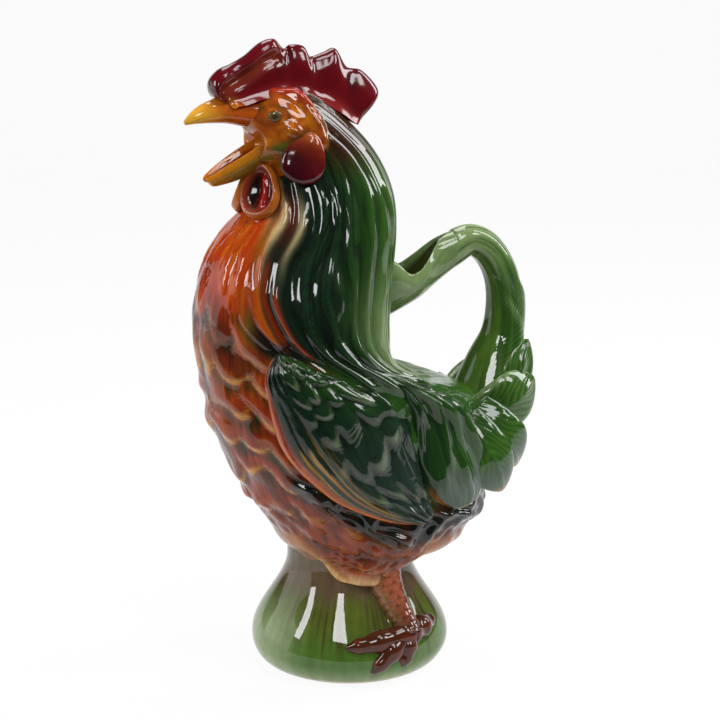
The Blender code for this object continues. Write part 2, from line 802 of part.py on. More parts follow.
def turned_mesh(profile):
    """A solid turned about the pedestal's axis from a half section that starts and ends on the axis."""
    mesh = bpy.data.meshes.new("profile")
    edges = [(i, i + 1) for i in range(len(profile) - 1)]
    mesh.from_pydata([(radius, 0.0, z) for radius, z in profile], edges, [])
    holder = scratch(mesh, "profile")
    turn = holder.modifiers.new("turn", "SCREW")
    turn.steps = turn.render_steps = ROUND_SEGMENTS
    turn.use_merge_vertices = True
    turn.merge_threshold = 1e-5
    made = evaluated_mesh(holder)
    bpy.data.objects.remove(holder)
    form = bmesh.new()
    form.from_mesh(made)
    bmesh.ops.recalc_face_normals(form, faces=form.faces)
    form.to_mesh(made)
    form.free()
    return made


def pedestal_radius(z):
    """The outer radius of the pedestal at a height."""
    radius = WAIST_RADIUS + (FLARE_RADIUS - WAIST_RADIUS) * eased(PEDESTAL_HEIGHT, FLARE_HEIGHT, z)
    if z < FLARE_HEIGHT:
        radius = FOOT_RADIUS + (FLARE_RADIUS - FOOT_RADIUS) * math.sqrt(1 - (1 - z / FLARE_HEIGHT) ** 2)
    return radius


def on_pedestal(x, z, standoff):
    """The point over the pedestal's left side with that place seen from the side."""
    radius = pedestal_radius(z) + standoff
    return Vector((x, -math.sqrt(radius * radius - x * x), z))


def tube_mesh(points, radii):
    """A round bar through points on the pedestal, with a radius at each one and rounded ends."""
    rings = []
    for i, (point, radius) in enumerate(zip(points, radii)):
        before, after = points[max(i - 1, 0)], points[min(i + 1, len(points) - 1)]
        tangent = (after - before).normalized()
        outward = Vector((point.x, point.y, 0.0))
        side = tangent.cross(outward).normalized()
        other = tangent.cross(side)
        shares = ((0.0, 1.0),)
        if i == 0:
            shares = ((-0.7, 0.6), (0.0, 1.0))
        if i == len(points) - 1:
            shares = ((0.0, 1.0), (0.7, 0.6))
        for shift, share in shares:
            centre = point + tangent * radius * shift
            ring = []
            for k in range(TOE_SEGMENTS):
                angle = 2 * math.pi * k / TOE_SEGMENTS
                ring.append(centre + (side * math.cos(angle) + other * math.sin(angle)) * radius * share)
            rings.append(ring)
    return grid_mesh(rings)


def leg_line():
    """The shank's line down the pedestal's left side."""
    return [on_pedestal(x, z, LEG_STANDOFF) for x, z in LEG_LINE]


def toes_mesh():
    """The foot: four toes that spread from the ankle over the pedestal's flare."""
    made = None
    for tip_x, tip_z in TOES:
        places = []
        for i in range(len(TOE_RADII)):
            t = i / (len(TOE_RADII) - 1)
            drop = t ** TOE_BEND if tip_z < ANKLE[1] else t
            places.append((ANKLE[0] + (tip_x - ANKLE[0]) * t, ANKLE[1] + (tip_z - ANKLE[1]) * drop))
        toe = tube_mesh([on_pedestal(x, z, 0.0) for x, z in places], TOE_RADII)
        made = toe if made is None else boolean(made, toe, "UNION")
    return made


def build():
    """Makes every piece of the jug and seats each one on what carries it."""
    inside, outside, underside = pedestal_profile()
    pedestal = turned_mesh(inside + outside + underside)
    plug = turned_mesh([(0.0, PEDESTAL_HEIGHT)] + outside + [(0.0, 0.0)])
    skin = grid_mesh(feathered_rings())

    rest = (Vector((0.0, 0.0, PEDESTAL_HEIGHT + SEAM)), Vector((0.0, 0.0, 1.0)))
    vessel = boolean(skin.copy(), room_mesh(), "DIFFERENCE")
    vessel = kept_side(vessel, rest, True)
    vessel = boolean(vessel, channel_bore(LIP), "DIFFERENCE")
    body = kept_side(vessel, seam_plane(SHOULDER, NECK_FOOT, -SEAM / 2), False)
    neck = kept_side(vessel, seam_plane(SHOULDER, NECK_FOOT, SEAM / 2), True)
    neck = kept_side(neck, seam_plane(NAPE, NAPE, -SEAM / 2), False)
    head = kept_side(vessel, seam_plane(NAPE, NAPE, SEAM / 2), True)
    head = boolean(head, prism_mesh(GAPE, GAPE_HALF_WIDTH), "DIFFERENCE")
    finish("pedestal", pedestal, "grass")
    finish("body", largest_body(body), "orange")
    finish("neck", largest_body(neck), "dark_green")
    finish("head", largest_body(head), "amber")

    lip = seated(channel_mesh(LIP, True), skin)
    tail = seated(limb_mesh(TAIL_ARCH, 2), skin)
    finish("filling_lip", lip, "green")
    finish("tail_handle", tail, "green")

    upper_beak = seated(limb_mesh(UPPER_BEAK, 2), skin)
    lower_beak = seated(channel_mesh(LOWER_BEAK, False), skin)
    comb_base = [(crown.back_x, crown.back_z - COMB_BASE_DROP) for crown in (EAR, CROWN, BROW)]
    comb = outline_solid(closed_outline(list(COMB_LOBES) + comb_base, 2), COMB_THICKNESS, COMB_ROUNDING)
    comb = seated(comb, skin, upper_beak)
    finish("upper_beak", upper_beak, "amber")
    finish("lower_beak", lower_beak, "amber")
    finish("comb", comb, "red")

    left_half = (Vector((0.0, -SEAT / 2, 0.0)), Vector((0.0, -1.0, 0.0)))
    wattle = egg_mesh(WATTLE_CENTRE, WATTLE_DOWN, WATTLE_OUT, WATTLE_HALF_SIZES)
    wattle = kept_side(wattle, left_half, True)
    lobe = egg_mesh(LOBE_CENTRE, LOBE_DOWN, LOBE_OUT, LOBE_HALF_SIZES)
    eye = egg_mesh(EYE_CENTRE, EYE_DOWN, EYE_OUT, EYE_HALF_SIZES)
    pair("wattle", seated(wattle, skin, lower_beak), "red")
    pair("ear_lobe", seated(lobe, skin), "red")
    pair("eye", seated(eye, skin), "brown")

    core = grown(skin, -RELIEF_ROOT)
    wing = relief_mesh(closed_outline(WING_OUTLINE, 2), core, WING_THICKNESS + RELIEF_ROOT)
    wing = seated(wing, skin)
    saddle = relief_mesh(closed_outline(SADDLE_OUTLINE, 2), core, SADDLE_THICKNESS + RELIEF_ROOT)
    saddle = seated(saddle, skin, wing)
    laid = [skin, tail, saddle.copy()]
    pair("wing", wing, "dark_green")
    pair("saddle_feather", saddle, "green")
    for number in range(len(TAIL_PLUMES), 0, -1):
        feather = seated(plume_mesh(TAIL_PLUMES[number - 1]), *laid)
        laid.append(feather.copy())
        pair(f"tail_feather_{number}", feather, "green")

    shank = seated(tube_mesh(leg_line(), LEG_RADII), skin, plug)
    toes = seated(toes_mesh(), plug, shank)
    pair("leg", shank, "brown")
    pair("foot", toes, "brown")


def centre_length():
    """Moves the axis so that the middle of the jug's length is over the origin."""
    reach = [vert.co.x for piece in PIECES.objects if piece.type == "MESH" for vert in piece.data.vertices]
    AXIS.location.x = -(min(reach) + max(reach)) / 2


build()
centre_length()
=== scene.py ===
"""A glazed rooster jug: its feathers, comb, beak and feet modelled over the plain clay pieces.

Every surface is worked out with numpy in millimetres, measured from the foot's upright axis.
The beak points along -X, the bird's left side is at -Y and the jug stands on Z = 0.
A ring is a station of the hollow bird, from 0 at the hem to 19 at the mouth; a turn is an angle round it.

In the formulas, ease(a, b, v) fades in from a to b and hump(c, w, v) stands at c and is w wide, so their
numbers are places on the jug: rings, turns, millimetres or shares along a feather. A factor before them is
a wash's strength or a height in millimetres. The last number of drift and chance is their pattern's seed.
"""
import logging
import math
from dataclasses import dataclass, field, replace
from enum import Enum
from typing import Dict, List, Optional, Sequence, Tuple, Union

import bpy
import numpy as np
from mathutils import Matrix, Vector


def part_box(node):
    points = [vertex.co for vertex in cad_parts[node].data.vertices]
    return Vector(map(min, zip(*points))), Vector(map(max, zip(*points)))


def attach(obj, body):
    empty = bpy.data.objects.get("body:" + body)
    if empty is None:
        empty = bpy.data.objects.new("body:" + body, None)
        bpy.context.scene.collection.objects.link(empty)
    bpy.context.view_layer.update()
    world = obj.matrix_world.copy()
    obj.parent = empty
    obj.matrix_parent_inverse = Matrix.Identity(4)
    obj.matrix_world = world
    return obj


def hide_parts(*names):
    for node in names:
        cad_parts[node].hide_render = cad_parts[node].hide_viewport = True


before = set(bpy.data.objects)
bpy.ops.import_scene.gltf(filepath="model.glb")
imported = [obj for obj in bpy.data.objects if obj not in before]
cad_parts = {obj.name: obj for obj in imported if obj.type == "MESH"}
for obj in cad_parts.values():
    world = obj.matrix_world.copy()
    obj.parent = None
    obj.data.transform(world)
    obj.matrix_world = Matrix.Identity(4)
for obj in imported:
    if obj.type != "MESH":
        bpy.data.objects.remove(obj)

LOG = logging.getLogger("rooster_jug")
Array = np.ndarray
Arrays = Tuple[Array, ...]
Table = Tuple[Tuple[float, ...], ...]
Triple = Tuple[float, float, float]
Feed = Union[float, Sequence[float], bpy.types.NodeSocket]
MM = 0.001
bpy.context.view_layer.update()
AXIS_X = (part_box("pedestal")[0][0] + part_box("pedestal")[1][0]) / 2
TURN = 2.0 * math.pi
LATTICE_HASH = (12.9898, 78.233, 37.719, 43758.5453)
CHANCE_HASH = (91.345, 17.13, 24634.6345)
BELL = ((-1.0, 0.11), (-0.5, 0.23), (0.0, 0.32), (0.5, 0.23), (1.0, 0.11))


class Pigment(Enum):
    """The potter's colours under the glaze, and the grey of a painted floor reflection, as display red, green
    and blue from 0 to 255.
    """

    BOTTLE = (16, 38, 24)
    PITCH = (14, 20, 14)
    LEAF = (38, 74, 22)
    GRASS = (70, 108, 38)
    SAGE = (136, 156, 106)
    OLIVE = (92, 92, 30)
    MOSS = (46, 50, 20)
    FLAME = (180, 58, 10)
    TAWNY = (166, 80, 10)
    RUST = (124, 40, 16)
    AMBER = (212, 126, 24)
    HONEY = (232, 172, 52)
    CREAM = (236, 214, 156)
    BRICK = (150, 62, 40)
    SCARLET = (168, 30, 20)
    OXBLOOD = (98, 8, 18)
    GARNET = (58, 6, 14)
    INK = (22, 8, 8)
    COCOA = (70, 32, 16)
    CLAY = (168, 112, 82)
    TAUPE = (98, 78, 60)
    UMBER = (62, 46, 28)
    PEACH = (214, 150, 112)
    FERN = (74, 96, 30)
    # Grey-blue painted reflection of the white floor on down-facing feathers.
    STEEL = (70, 86, 78)

    @property
    def linear(self) -> Array:
        """The colour as linear light, by the curve of sRGB."""
        share = np.array(self.value, float) / 255.0
        return np.where(share <= 0.04045, share / 12.92, ((share + 0.055) / 1.055) ** 2.4)


class Side(Enum):
    """The bird's two sides, with the factor that Y takes on each."""

    LEFT = 1.0
    RIGHT = -1.0

    @property
    def word(self) -> str:
        """The side's word in a piece's name."""
        return self.name.lower()


def ease(low: float, high: float, value: Array) -> Array:
    """A smooth step from 0 at low to 1 at high: 3t^2 - 2t^3 of the clipped share t.

    Args:
        low: where the step starts.
        high: where it ends; below low, the step falls with the value.
        value: the numbers to step.

    Returns:
        The step's share for each number.
    """
    share = np.clip((np.asarray(value, float) - low) / (high - low), 0.0, 1.0)
    return share * share * (3.0 - 2.0 * share)


def hump(centre: float, width: float, value: Array) -> Array:
    """A bell of height 1 about a centre: e to the minus squared distance over squared width."""
    return np.exp(-(((np.asarray(value, float) - centre) / width) ** 2))


def arc(value: Array, power: int = 2) -> Array:
    """A rounded end: the square root of 1 - value^power, and 0 past 1."""
    return np.sqrt(np.clip(1 - np.abs(value) ** power, 0.0, 1.0))


def drift(x: Array, y: Array, seed: float) -> Array:
    """Smooth hand-made unevenness: hashed values on a unit lattice, blended by smooth steps.

    Args:
        x: first coordinate, in lattice cells.
        y: second coordinate, in lattice cells.
        seed: which of the endless patterns.

    Returns:
        Values from -1 to 1.
    """
    x, y = np.broadcast_arrays(np.asarray(x, float), np.asarray(y, float))
    cell_x, cell_y = np.floor(x), np.floor(y)
    share_x, share_y = ease(0.0, 1.0, x - cell_x), ease(0.0, 1.0, y - cell_y)
    by_x, by_y, by_seed, spread = LATTICE_HASH

    def knot(i: Array, j: Array) -> Array:
        """A fixed pseudo-random value for a lattice knot."""
        return np.modf(np.abs(np.sin(i * by_x + j * by_y + seed * by_seed) * spread))[0]

    low = knot(cell_x, cell_y) * (1 - share_x) + knot(cell_x + 1, cell_y) * share_x
    high = knot(cell_x, cell_y + 1) * (1 - share_x) + knot(cell_x + 1, cell_y + 1) * share_x
    return (low * (1 - share_y) + high * share_y) * 2.0 - 1.0


def chance(key: Array, seed: float) -> Array:
    """A fixed draw from 0 to 1 for each whole-number key."""
    by_key, by_seed, spread = CHANCE_HASH
    return np.modf(np.abs(np.sin(np.asarray(key, float) * by_key + seed * by_seed) * spread))[0]


def along(table: Sequence[Sequence[float]], place: Array) -> Array:
    """A smooth curve through the rows of a table: a cubic between neighbours, with centred slopes.

    Args:
        table: rows of numbers.
        place: row numbers, fractions included.

    Returns:
        A row of numbers for each place.
    """
    rows = np.asarray(table, float)
    last = len(rows) - 1
    place = np.clip(np.asarray(place, float), 0.0, last)
    first = np.clip(place.astype(int), 0, last - 1)
    share = (place - first)[..., None]
    here, after = rows[first], rows[first + 1]
    slope_in = (after - rows[np.maximum(first - 1, 0)]) / 2
    slope_out = (rows[np.minimum(first + 2, last)] - here) / 2
    rise = after - here
    return here + share * (slope_in + share * (
        3 * rise - 2 * slope_in - slope_out + share * (slope_in + slope_out - 2 * rise)))


def unit(vectors: Array) -> Array:
    """The vectors at length 1."""
    return vectors / (np.linalg.norm(vectors, axis=-1, keepdims=True) + 1e-12)


def vec(*parts: Union[float, Array]) -> Array:
    """Vectors put together from their parts, which are spread to one shape."""
    return np.stack(np.broadcast_arrays(*parts), -1)


def blend(under: Array, over: Array, share: Array) -> Array:
    """Vectors a share of the way from one to another: u + (o - u) times the share."""
    return under + (over - under) * share[..., None]


def tint(pigment: Pigment, like: Array) -> Array:
    """The pigment spread over an array of places."""
    return np.broadcast_to(pigment.linear, np.shape(like) + (3,)).copy()


def wash(colour: Array, *strokes: Tuple[Pigment, Array]) -> Array:
    """Brushes pigments over a colour, one after the other: c + (p - c) times each share.

    Args:
        colour: the ground.
        strokes: each pigment with its share at every place, cut to 0 to 1.

    Returns:
        The painted colour.
    """
    for pigment, share in strokes:
        colour = blend(colour, pigment.linear, np.clip(share, 0.0, 1.0))
    return colour


def grid(rows: int, columns: int, closed: bool = True) -> Arrays:
    """Two parameters on a grid: the first from 0 to 1 down the rows, the second across the columns.

    Args:
        rows: number of rows.
        columns: number of columns.
        closed: if set, the second parameter is an angle round a full turn, end left out.

    Returns:
        The two parameter arrays.
    """
    first = np.linspace(0.0, 1.0, rows)
    second = np.arange(columns) * TURN / columns if closed else np.linspace(0.0, 1.0, columns)
    return np.meshgrid(first, second, indexing="ij")


def round_slope(points: Array) -> Array:
    """The step from the neighbour before to the one after, round each closed row."""
    return np.roll(points, -1, axis=1) - np.roll(points, 1, axis=1)


@dataclass
class Patch:
    """One gridded surface with its paint: points in millimetres, rows by columns that run round and close.

    A pole is an end row that is drawn together into one vertex.
    """

    points: Array
    colour: Array
    vane: Array
    groove: Optional[Array] = None
    start_pole: bool = False
    end_pole: bool = False
    normals: Optional[Array] = None

    def __post_init__(self) -> None:
        """Leaves a patch without grooves smooth."""
        if self.groove is None:
            self.groove = np.zeros(self.points.shape[:2])

    def on(self, side: Side) -> "Patch":
        """The same patch for a side: Y is turned over for the right one."""
        return replace(self, points=self.points * np.array([1.0, side.value, 1.0]), normals=None)

    def closed(self) -> "Patch":
        """The patch with one more row at each end, drawn together to a point, and shaded as if it ran on.

        Returns:
            The closed patch.
        """
        points = self.points
        normals = unit(np.cross(round_slope(points), np.gradient(points, axis=0)))
        normals = normals * np.sign(np.sum((points - points.mean(axis=(0, 1))) * normals))

        def longer(values: Array) -> Array:
            """The values with their first and last row once more."""
            return np.concatenate([values[:1], values, values[-1:]])

        capped = longer(points)
        for end in (0, -1):
            capped[end] = capped[end].mean(axis=0)
        return Patch(capped, longer(self.colour), longer(self.vane), longer(self.groove),
                     start_pole=True, end_pole=True, normals=longer(normals))

    def flat(self) -> Arrays:
        """The patch as loose arrays, with each pole drawn together into one vertex.

        Returns:
            Indices of the kept vertices, the quads and the triangles, in the kept numbering.
        """
        rows, columns = self.points.shape[:2]
        number = np.arange(rows * columns).reshape(rows, columns)
        if self.start_pole:
            number[0] = number[0, 0]
        if self.end_pole:
            number[-1] = number[-1, 0]
        after = np.roll(number, -1, axis=1)
        a, b, c, d = number[:-1], after[:-1], after[1:], number[1:]
        first, final = int(self.start_pole), rows - 1 - int(self.end_pole)
        quads = np.stack([a, b, c, d], -1)[first:final].reshape(-1, 4)
        ends = [np.zeros((0, 3), int)]
        if self.start_pole:
            ends.append(np.stack([a[0], c[0], d[0]], -1))
        if self.end_pole:
            ends.append(np.stack([a[-1], b[-1], c[-1]], -1))
        triangles = np.concatenate(ends)
        kept = np.unique(np.concatenate([quads.ravel(), triangles.ravel()]))
        place = np.zeros(rows * columns, int)
        place[kept] = np.arange(len(kept))
        return kept, place[quads], place[triangles]


def outward(points: Array, quads: Array, triangles: Array) -> Arrays:
    """Turns the faces away from the patch's middle, by the sign of the volume they enclose.

    Args:
        points: the vertices.
        quads: four-cornered faces.
        triangles: three-cornered faces.

    Returns:
        The quads and the triangles, reversed together if need be.
    """
    centred = points - points.mean(axis=0)
    halves = np.concatenate([quads[:, :3], quads[:, [0, 2, 3]], triangles])
    p, q, r = (centred[halves[:, i]] for i in range(3))
    if np.einsum("ij,ij->", p, np.cross(q, r)) < 0:
        return quads[:, ::-1], triangles[:, ::-1]
    return quads, triangles


def make_piece(name: str, patches: Sequence[Patch], finish: "GlazeFinish",
               nodes: Sequence[str]) -> bpy.types.Object:
    """Puts patches into one mesh, dresses it and ties it to the frame.

    Args:
        name: the piece's name.
        patches: its surfaces.
        finish: the glaze it wears.
        nodes: the clay pieces it stands for.

    Returns:
        The new object.
    """
    points, colours, grooves, vanes, corners, sizes, normals = ([] for _ in range(7))
    count = 0
    for patch in patches:
        kept, quads, triangles = patch.flat()
        place = patch.points.reshape(-1, 3)[kept]
        quads, triangles = outward(place, quads, triangles)
        points.append(place)
        colours.append(patch.colour.reshape(-1, 3)[kept])
        grooves.append(patch.groove.reshape(-1)[kept])
        vanes.append(patch.vane.reshape(-1, 3)[kept])
        if patch.normals is not None:
            normals.append(patch.normals.reshape(-1, 3)[kept])
        corners.append(np.concatenate([quads.ravel(), triangles.ravel()]) + count)
        sizes.append(np.concatenate([np.full(len(quads), 4), np.full(len(triangles), 3)]))
        count += len(kept)
    place = np.concatenate(points) * MM + np.array([AXIS_X, 0.0, 0.0])
    loops, spans = np.concatenate(corners), np.concatenate(sizes)
    mesh = bpy.data.meshes.new(name)
    mesh.vertices.add(count)
    mesh.vertices.foreach_set("co", place.ravel())
    mesh.loops.add(len(loops))
    mesh.loops.foreach_set("vertex_index", loops.astype(np.int32))
    mesh.polygons.add(len(spans))
    mesh.polygons.foreach_set("loop_start", (np.cumsum(spans) - spans).astype(np.int32))
    mesh.polygons.foreach_set("use_smooth", np.ones(len(spans), bool))
    mesh.update(calc_edges=True)
    mesh.validate()
    paint = np.concatenate([np.clip(np.concatenate(colours), 0.0, 1.0), np.ones((count, 1))], axis=1)
    for label, kind, key, values in (("glaze", "FLOAT_COLOR", "color", paint),
                                     ("groove", "FLOAT", "value", np.concatenate(grooves)),
                                     ("vane", "FLOAT_VECTOR", "vector", np.concatenate(vanes))):
        mesh.attributes.new(label, kind, "POINT").data.foreach_set(key, values.ravel())
    if normals:
        mesh.normals_split_custom_set_from_vertices(np.concatenate(normals).tolist())
    mesh.materials.append(finish.material())
    piece = bpy.data.objects.new(name, mesh)
    bpy.context.scene.collection.objects.link(piece)
    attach(piece, "root")
    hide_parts(*nodes)
    LOG.info("%s: %d faces, stands for %s", name, len(spans), ", ".join(nodes))
    return piece


def make_pair(name: str, node: str, patch: Patch, finish: "GlazeFinish") -> None:
    """Makes a piece for the bird's left side and its mirror image for the right one."""
    for side in Side:
        make_piece(f"{name}_{side.word}", [patch.on(side)], finish, [f"{node}_{side.word}"])


def connect(tree: bpy.types.NodeTree, node: bpy.types.Node, feeds: Dict[Union[str, int], Feed]) -> None:
    """Gives a node's inputs their values, or links them to other nodes' outputs.

    Args:
        tree: the tree the node is in.
        node: the node.
        feeds: for each input's name or number, a value or an output.
    """
    for name, feed in feeds.items():
        if isinstance(feed, bpy.types.NodeSocket):
            tree.links.new(feed, node.inputs[name])
        else:
            node.inputs[name].default_value = feed


def add_node(tree: bpy.types.NodeTree, kind: str, feeds: Optional[Dict[Union[str, int], Feed]] = None,
             **traits: str) -> bpy.types.Node:
    """Adds a shader node.

    Args:
        tree: the tree to add it to.
        kind: its type, without the leading word that all types share.
        feeds: for each input's name or number, a value or another node's output.
        traits: settings of the node itself.

    Returns:
        The node.
    """
    node = tree.nodes.new(f"ShaderNode{kind}")
    for trait, value in traits.items():
        setattr(node, trait, value)
    connect(tree, node, feeds or {})
    return node


@dataclass(frozen=True)
class GlazeFinish:
    """A brushed majolica glaze: pigment pooled in the grooves under a clear glassy coat."""

    slot: str
    mottle_scale: float = 260.0
    mottle: float = 0.22
    mottle_octaves: float = 4.0
    streak: float = 0.45
    streak_octaves: float = 3.0
    barb_depth: float = 0.12
    barb_rise: float = 0.4 * MM
    pool: float = 0.55
    roughness: float = 0.40
    specular: float = 0.03
    coat: float = 1.0
    coat_roughness: float = 0.035

    def material(self) -> bpy.types.Material:
        """The finish as a node material, made once.

        The base colour is the painted pigment, times a mottling noise, times streaks that run along
        the feathers, darkened where the glaze pools. The streaks also raise a faint bump.

        Returns:
            The material.
        """
        name = f"painted_{self.slot}"
        made = bpy.data.materials.get(name)
        if made is not None:
            return made
        made = bpy.data.materials.new(name)
        made.use_nodes = True
        tree = made.node_tree
        paint, groove, vane = (add_node(tree, "Attribute", attribute_name=label)
                               for label in ("glaze", "groove", "vane"))
        place = add_node(tree, "TexCoord").outputs["Object"]
        mottle = self._noise(tree, place, self.mottle_scale, self.mottle_octaves)
        streak = self._noise(tree, vane.outputs["Vector"], 1.0, self.streak_octaves)
        colour = self._times(tree, paint.outputs["Color"], mottle, 1 - self.mottle, 1 + self.mottle)
        colour = self._times(tree, colour, streak, 1 - self.streak, 1 + self.streak)
        colour = self._times(tree, colour, groove.outputs["Fac"], 1.0, 1.0 - self.pool)
        bump = add_node(tree, "Bump", {"Strength": self.barb_depth, "Distance": self.barb_rise,
                                       "Height": streak}).outputs["Normal"]
        connect(tree, tree.nodes["Principled BSDF"], {
            "Base Color": colour, "Roughness": self.roughness, "Specular IOR Level": self.specular,
            "Coat Weight": self.coat, "Coat Roughness": self.coat_roughness,
            "Normal": bump, "Coat Normal": bump})
        return made

    @staticmethod
    def _noise(tree: bpy.types.NodeTree, vector: bpy.types.NodeSocket, scale: float,
               octaves: float) -> bpy.types.NodeSocket:
        """A noise over the given coordinates."""
        noise = add_node(tree, "TexNoise", {"Vector": vector, "Scale": scale, "Detail": octaves})
        return noise.outputs["Fac"]

    @staticmethod
    def _times(tree: bpy.types.NodeTree, colour: bpy.types.NodeSocket, share: bpy.types.NodeSocket,
               low: float, high: float) -> bpy.types.NodeSocket:
        """The colour times a factor that runs from low to high with a share."""
        factor = add_node(tree, "MapRange", {"Value": share, "To Min": low, "To Max": high}).outputs["Result"]
        return add_node(tree, "VectorMath", {0: colour, 1: factor}, operation="MULTIPLY").outputs["Vector"]


GRASS_GLAZE = GlazeFinish("grass_glaze", mottle_scale=140.0, mottle=0.30, streak=0.30, barb_depth=0.06)
BREAST_GLAZE = GlazeFinish("breast_glaze")
HACKLE_GLAZE = GlazeFinish("hackle_glaze", streak=0.40, barb_depth=0.05, coat_roughness=0.07)
WING_GLAZE = GlazeFinish("wing_glaze", streak=0.55)
TAIL_GLAZE = GlazeFinish("tail_glaze", streak=0.40, barb_depth=0.10)
FACE_GLAZE = GlazeFinish("face_glaze", mottle_scale=180.0, mottle=0.28, streak=0.18, barb_depth=0.02)
COMB_GLAZE = GlazeFinish("comb_glaze", mottle_scale=160.0, mottle=0.30, streak=0.15, barb_depth=0.02,
                         coat_roughness=0.10)
EYE_GLAZE = GlazeFinish("eye_glaze", mottle=0.15, streak=0.10, barb_depth=0.0)
LEG_GLAZE = GlazeFinish("leg_glaze", streak=0.25, barb_depth=0.04)


@dataclass
class Feathering:
    """What a field of feathers does to a surface, place by place."""

    height: Array
    groove: Array
    tip: Array
    across: Array
    run: Array
    luck: Array


def shingles(row: Array, column: Array, roundness: float, pillow: float = 0.0) -> Feathering:
    """Overlapping round-tipped feathers laid like tiles.

    Each feather starts at a whole row and ends past the next one, at 1 + roundness * sqrt(1 - e^2) for its
    cross coordinate e from -1 to 1. It rises towards its tip, and the feather above lies on the one below.

    Args:
        row: how far down, in rows.
        column: how far across, in feathers.
        roundness: how far a tip hangs past the next row.
        pillow: how far a feather rounds down again to its tip and sides, from 0 to 1.

    Returns:
        The height from 0 to 1, how deep in the overlap a place is, how near its feather's tip it is, its
        cross and run coordinates in its feather, and the feather's luck from 0 to 1.
    """
    upper = np.floor(row) - 1

    def feather(start: Array) -> Arrays:
        """Cross coordinate, run coordinate and key of the feather that starts at a row.

        Args:
            start: the row.

        Returns:
            The three arrays.
        """
        shift = 0.5 * np.mod(start, 2)
        centre = np.floor(column - shift + 0.5) + shift
        return 2 * (column - centre), row - start, start * 57.0 + centre * 7.0

    cross, run, key = feather(upper)
    end = 1 + roundness * arc(cross)
    over = run < end
    cross, run, key = (np.where(over, high, low) for high, low in zip((cross, run, key), feather(upper + 1)))
    share = run / (1 + roundness)
    tip = np.where(over, ease(0.30, 0.0, end - run), 0.0)
    groove = np.where(over, 0.0, ease(0.55, 0.0, share))
    rounding = np.where(over, ease(0.75, 0.0, end - run), 0.0) ** 2
    height = share ** 1.4 * (1 - 0.30 * cross ** 2) * (1 - pillow * rounding)
    return Feathering(height, groove, tip, cross, run, chance(key, 3.0))


def soft_shingles(row: Array, column: Array, roundness: float, blur: float,
                  pillow: float = 0.0) -> Feathering:
    """Overlapping feathers under thick glaze: the weighted mean of fields of shingles set a little apart.

    Args:
        row: how far down, in rows.
        column: how far across, in feathers.
        roundness: how far a tip hangs past the next row.
        blur: how far the outermost fields lie from the middle one, in rows.
        pillow: how far a feather rounds down again to its tip and sides, from 0 to 1.

    Returns:
        The field, softened in all but the cross coordinate.
    """
    total = np.zeros((5,) + row.shape)
    for down, down_weight in BELL:
        for aside, aside_weight in BELL:
            near = shingles(row + blur * down, column + blur * aside, roundness, pillow)
            weight = down_weight * aside_weight
            total += np.stack([near.height, near.groove, near.tip, near.run, near.luck]) * weight
    height, groove, tip, run, luck = total
    return Feathering(height, groove, tip, shingles(row, column, roundness).across, run, luck)


@dataclass
class Coat:
    """What lies on a skin: relief in millimetres, colour, groove share and feather coordinates."""

    height: Array
    colour: Array
    groove: Array
    vane: Array

    def under(self, over: "Coat", share: Array) -> "Coat":
        """This coat with a share of another one laid over it."""
        return Coat(self.height * (1 - share) + over.height * share, blend(self.colour, over.colour, share),
                    self.groove * (1 - share) + over.groove * share, blend(self.vane, over.vane, share))


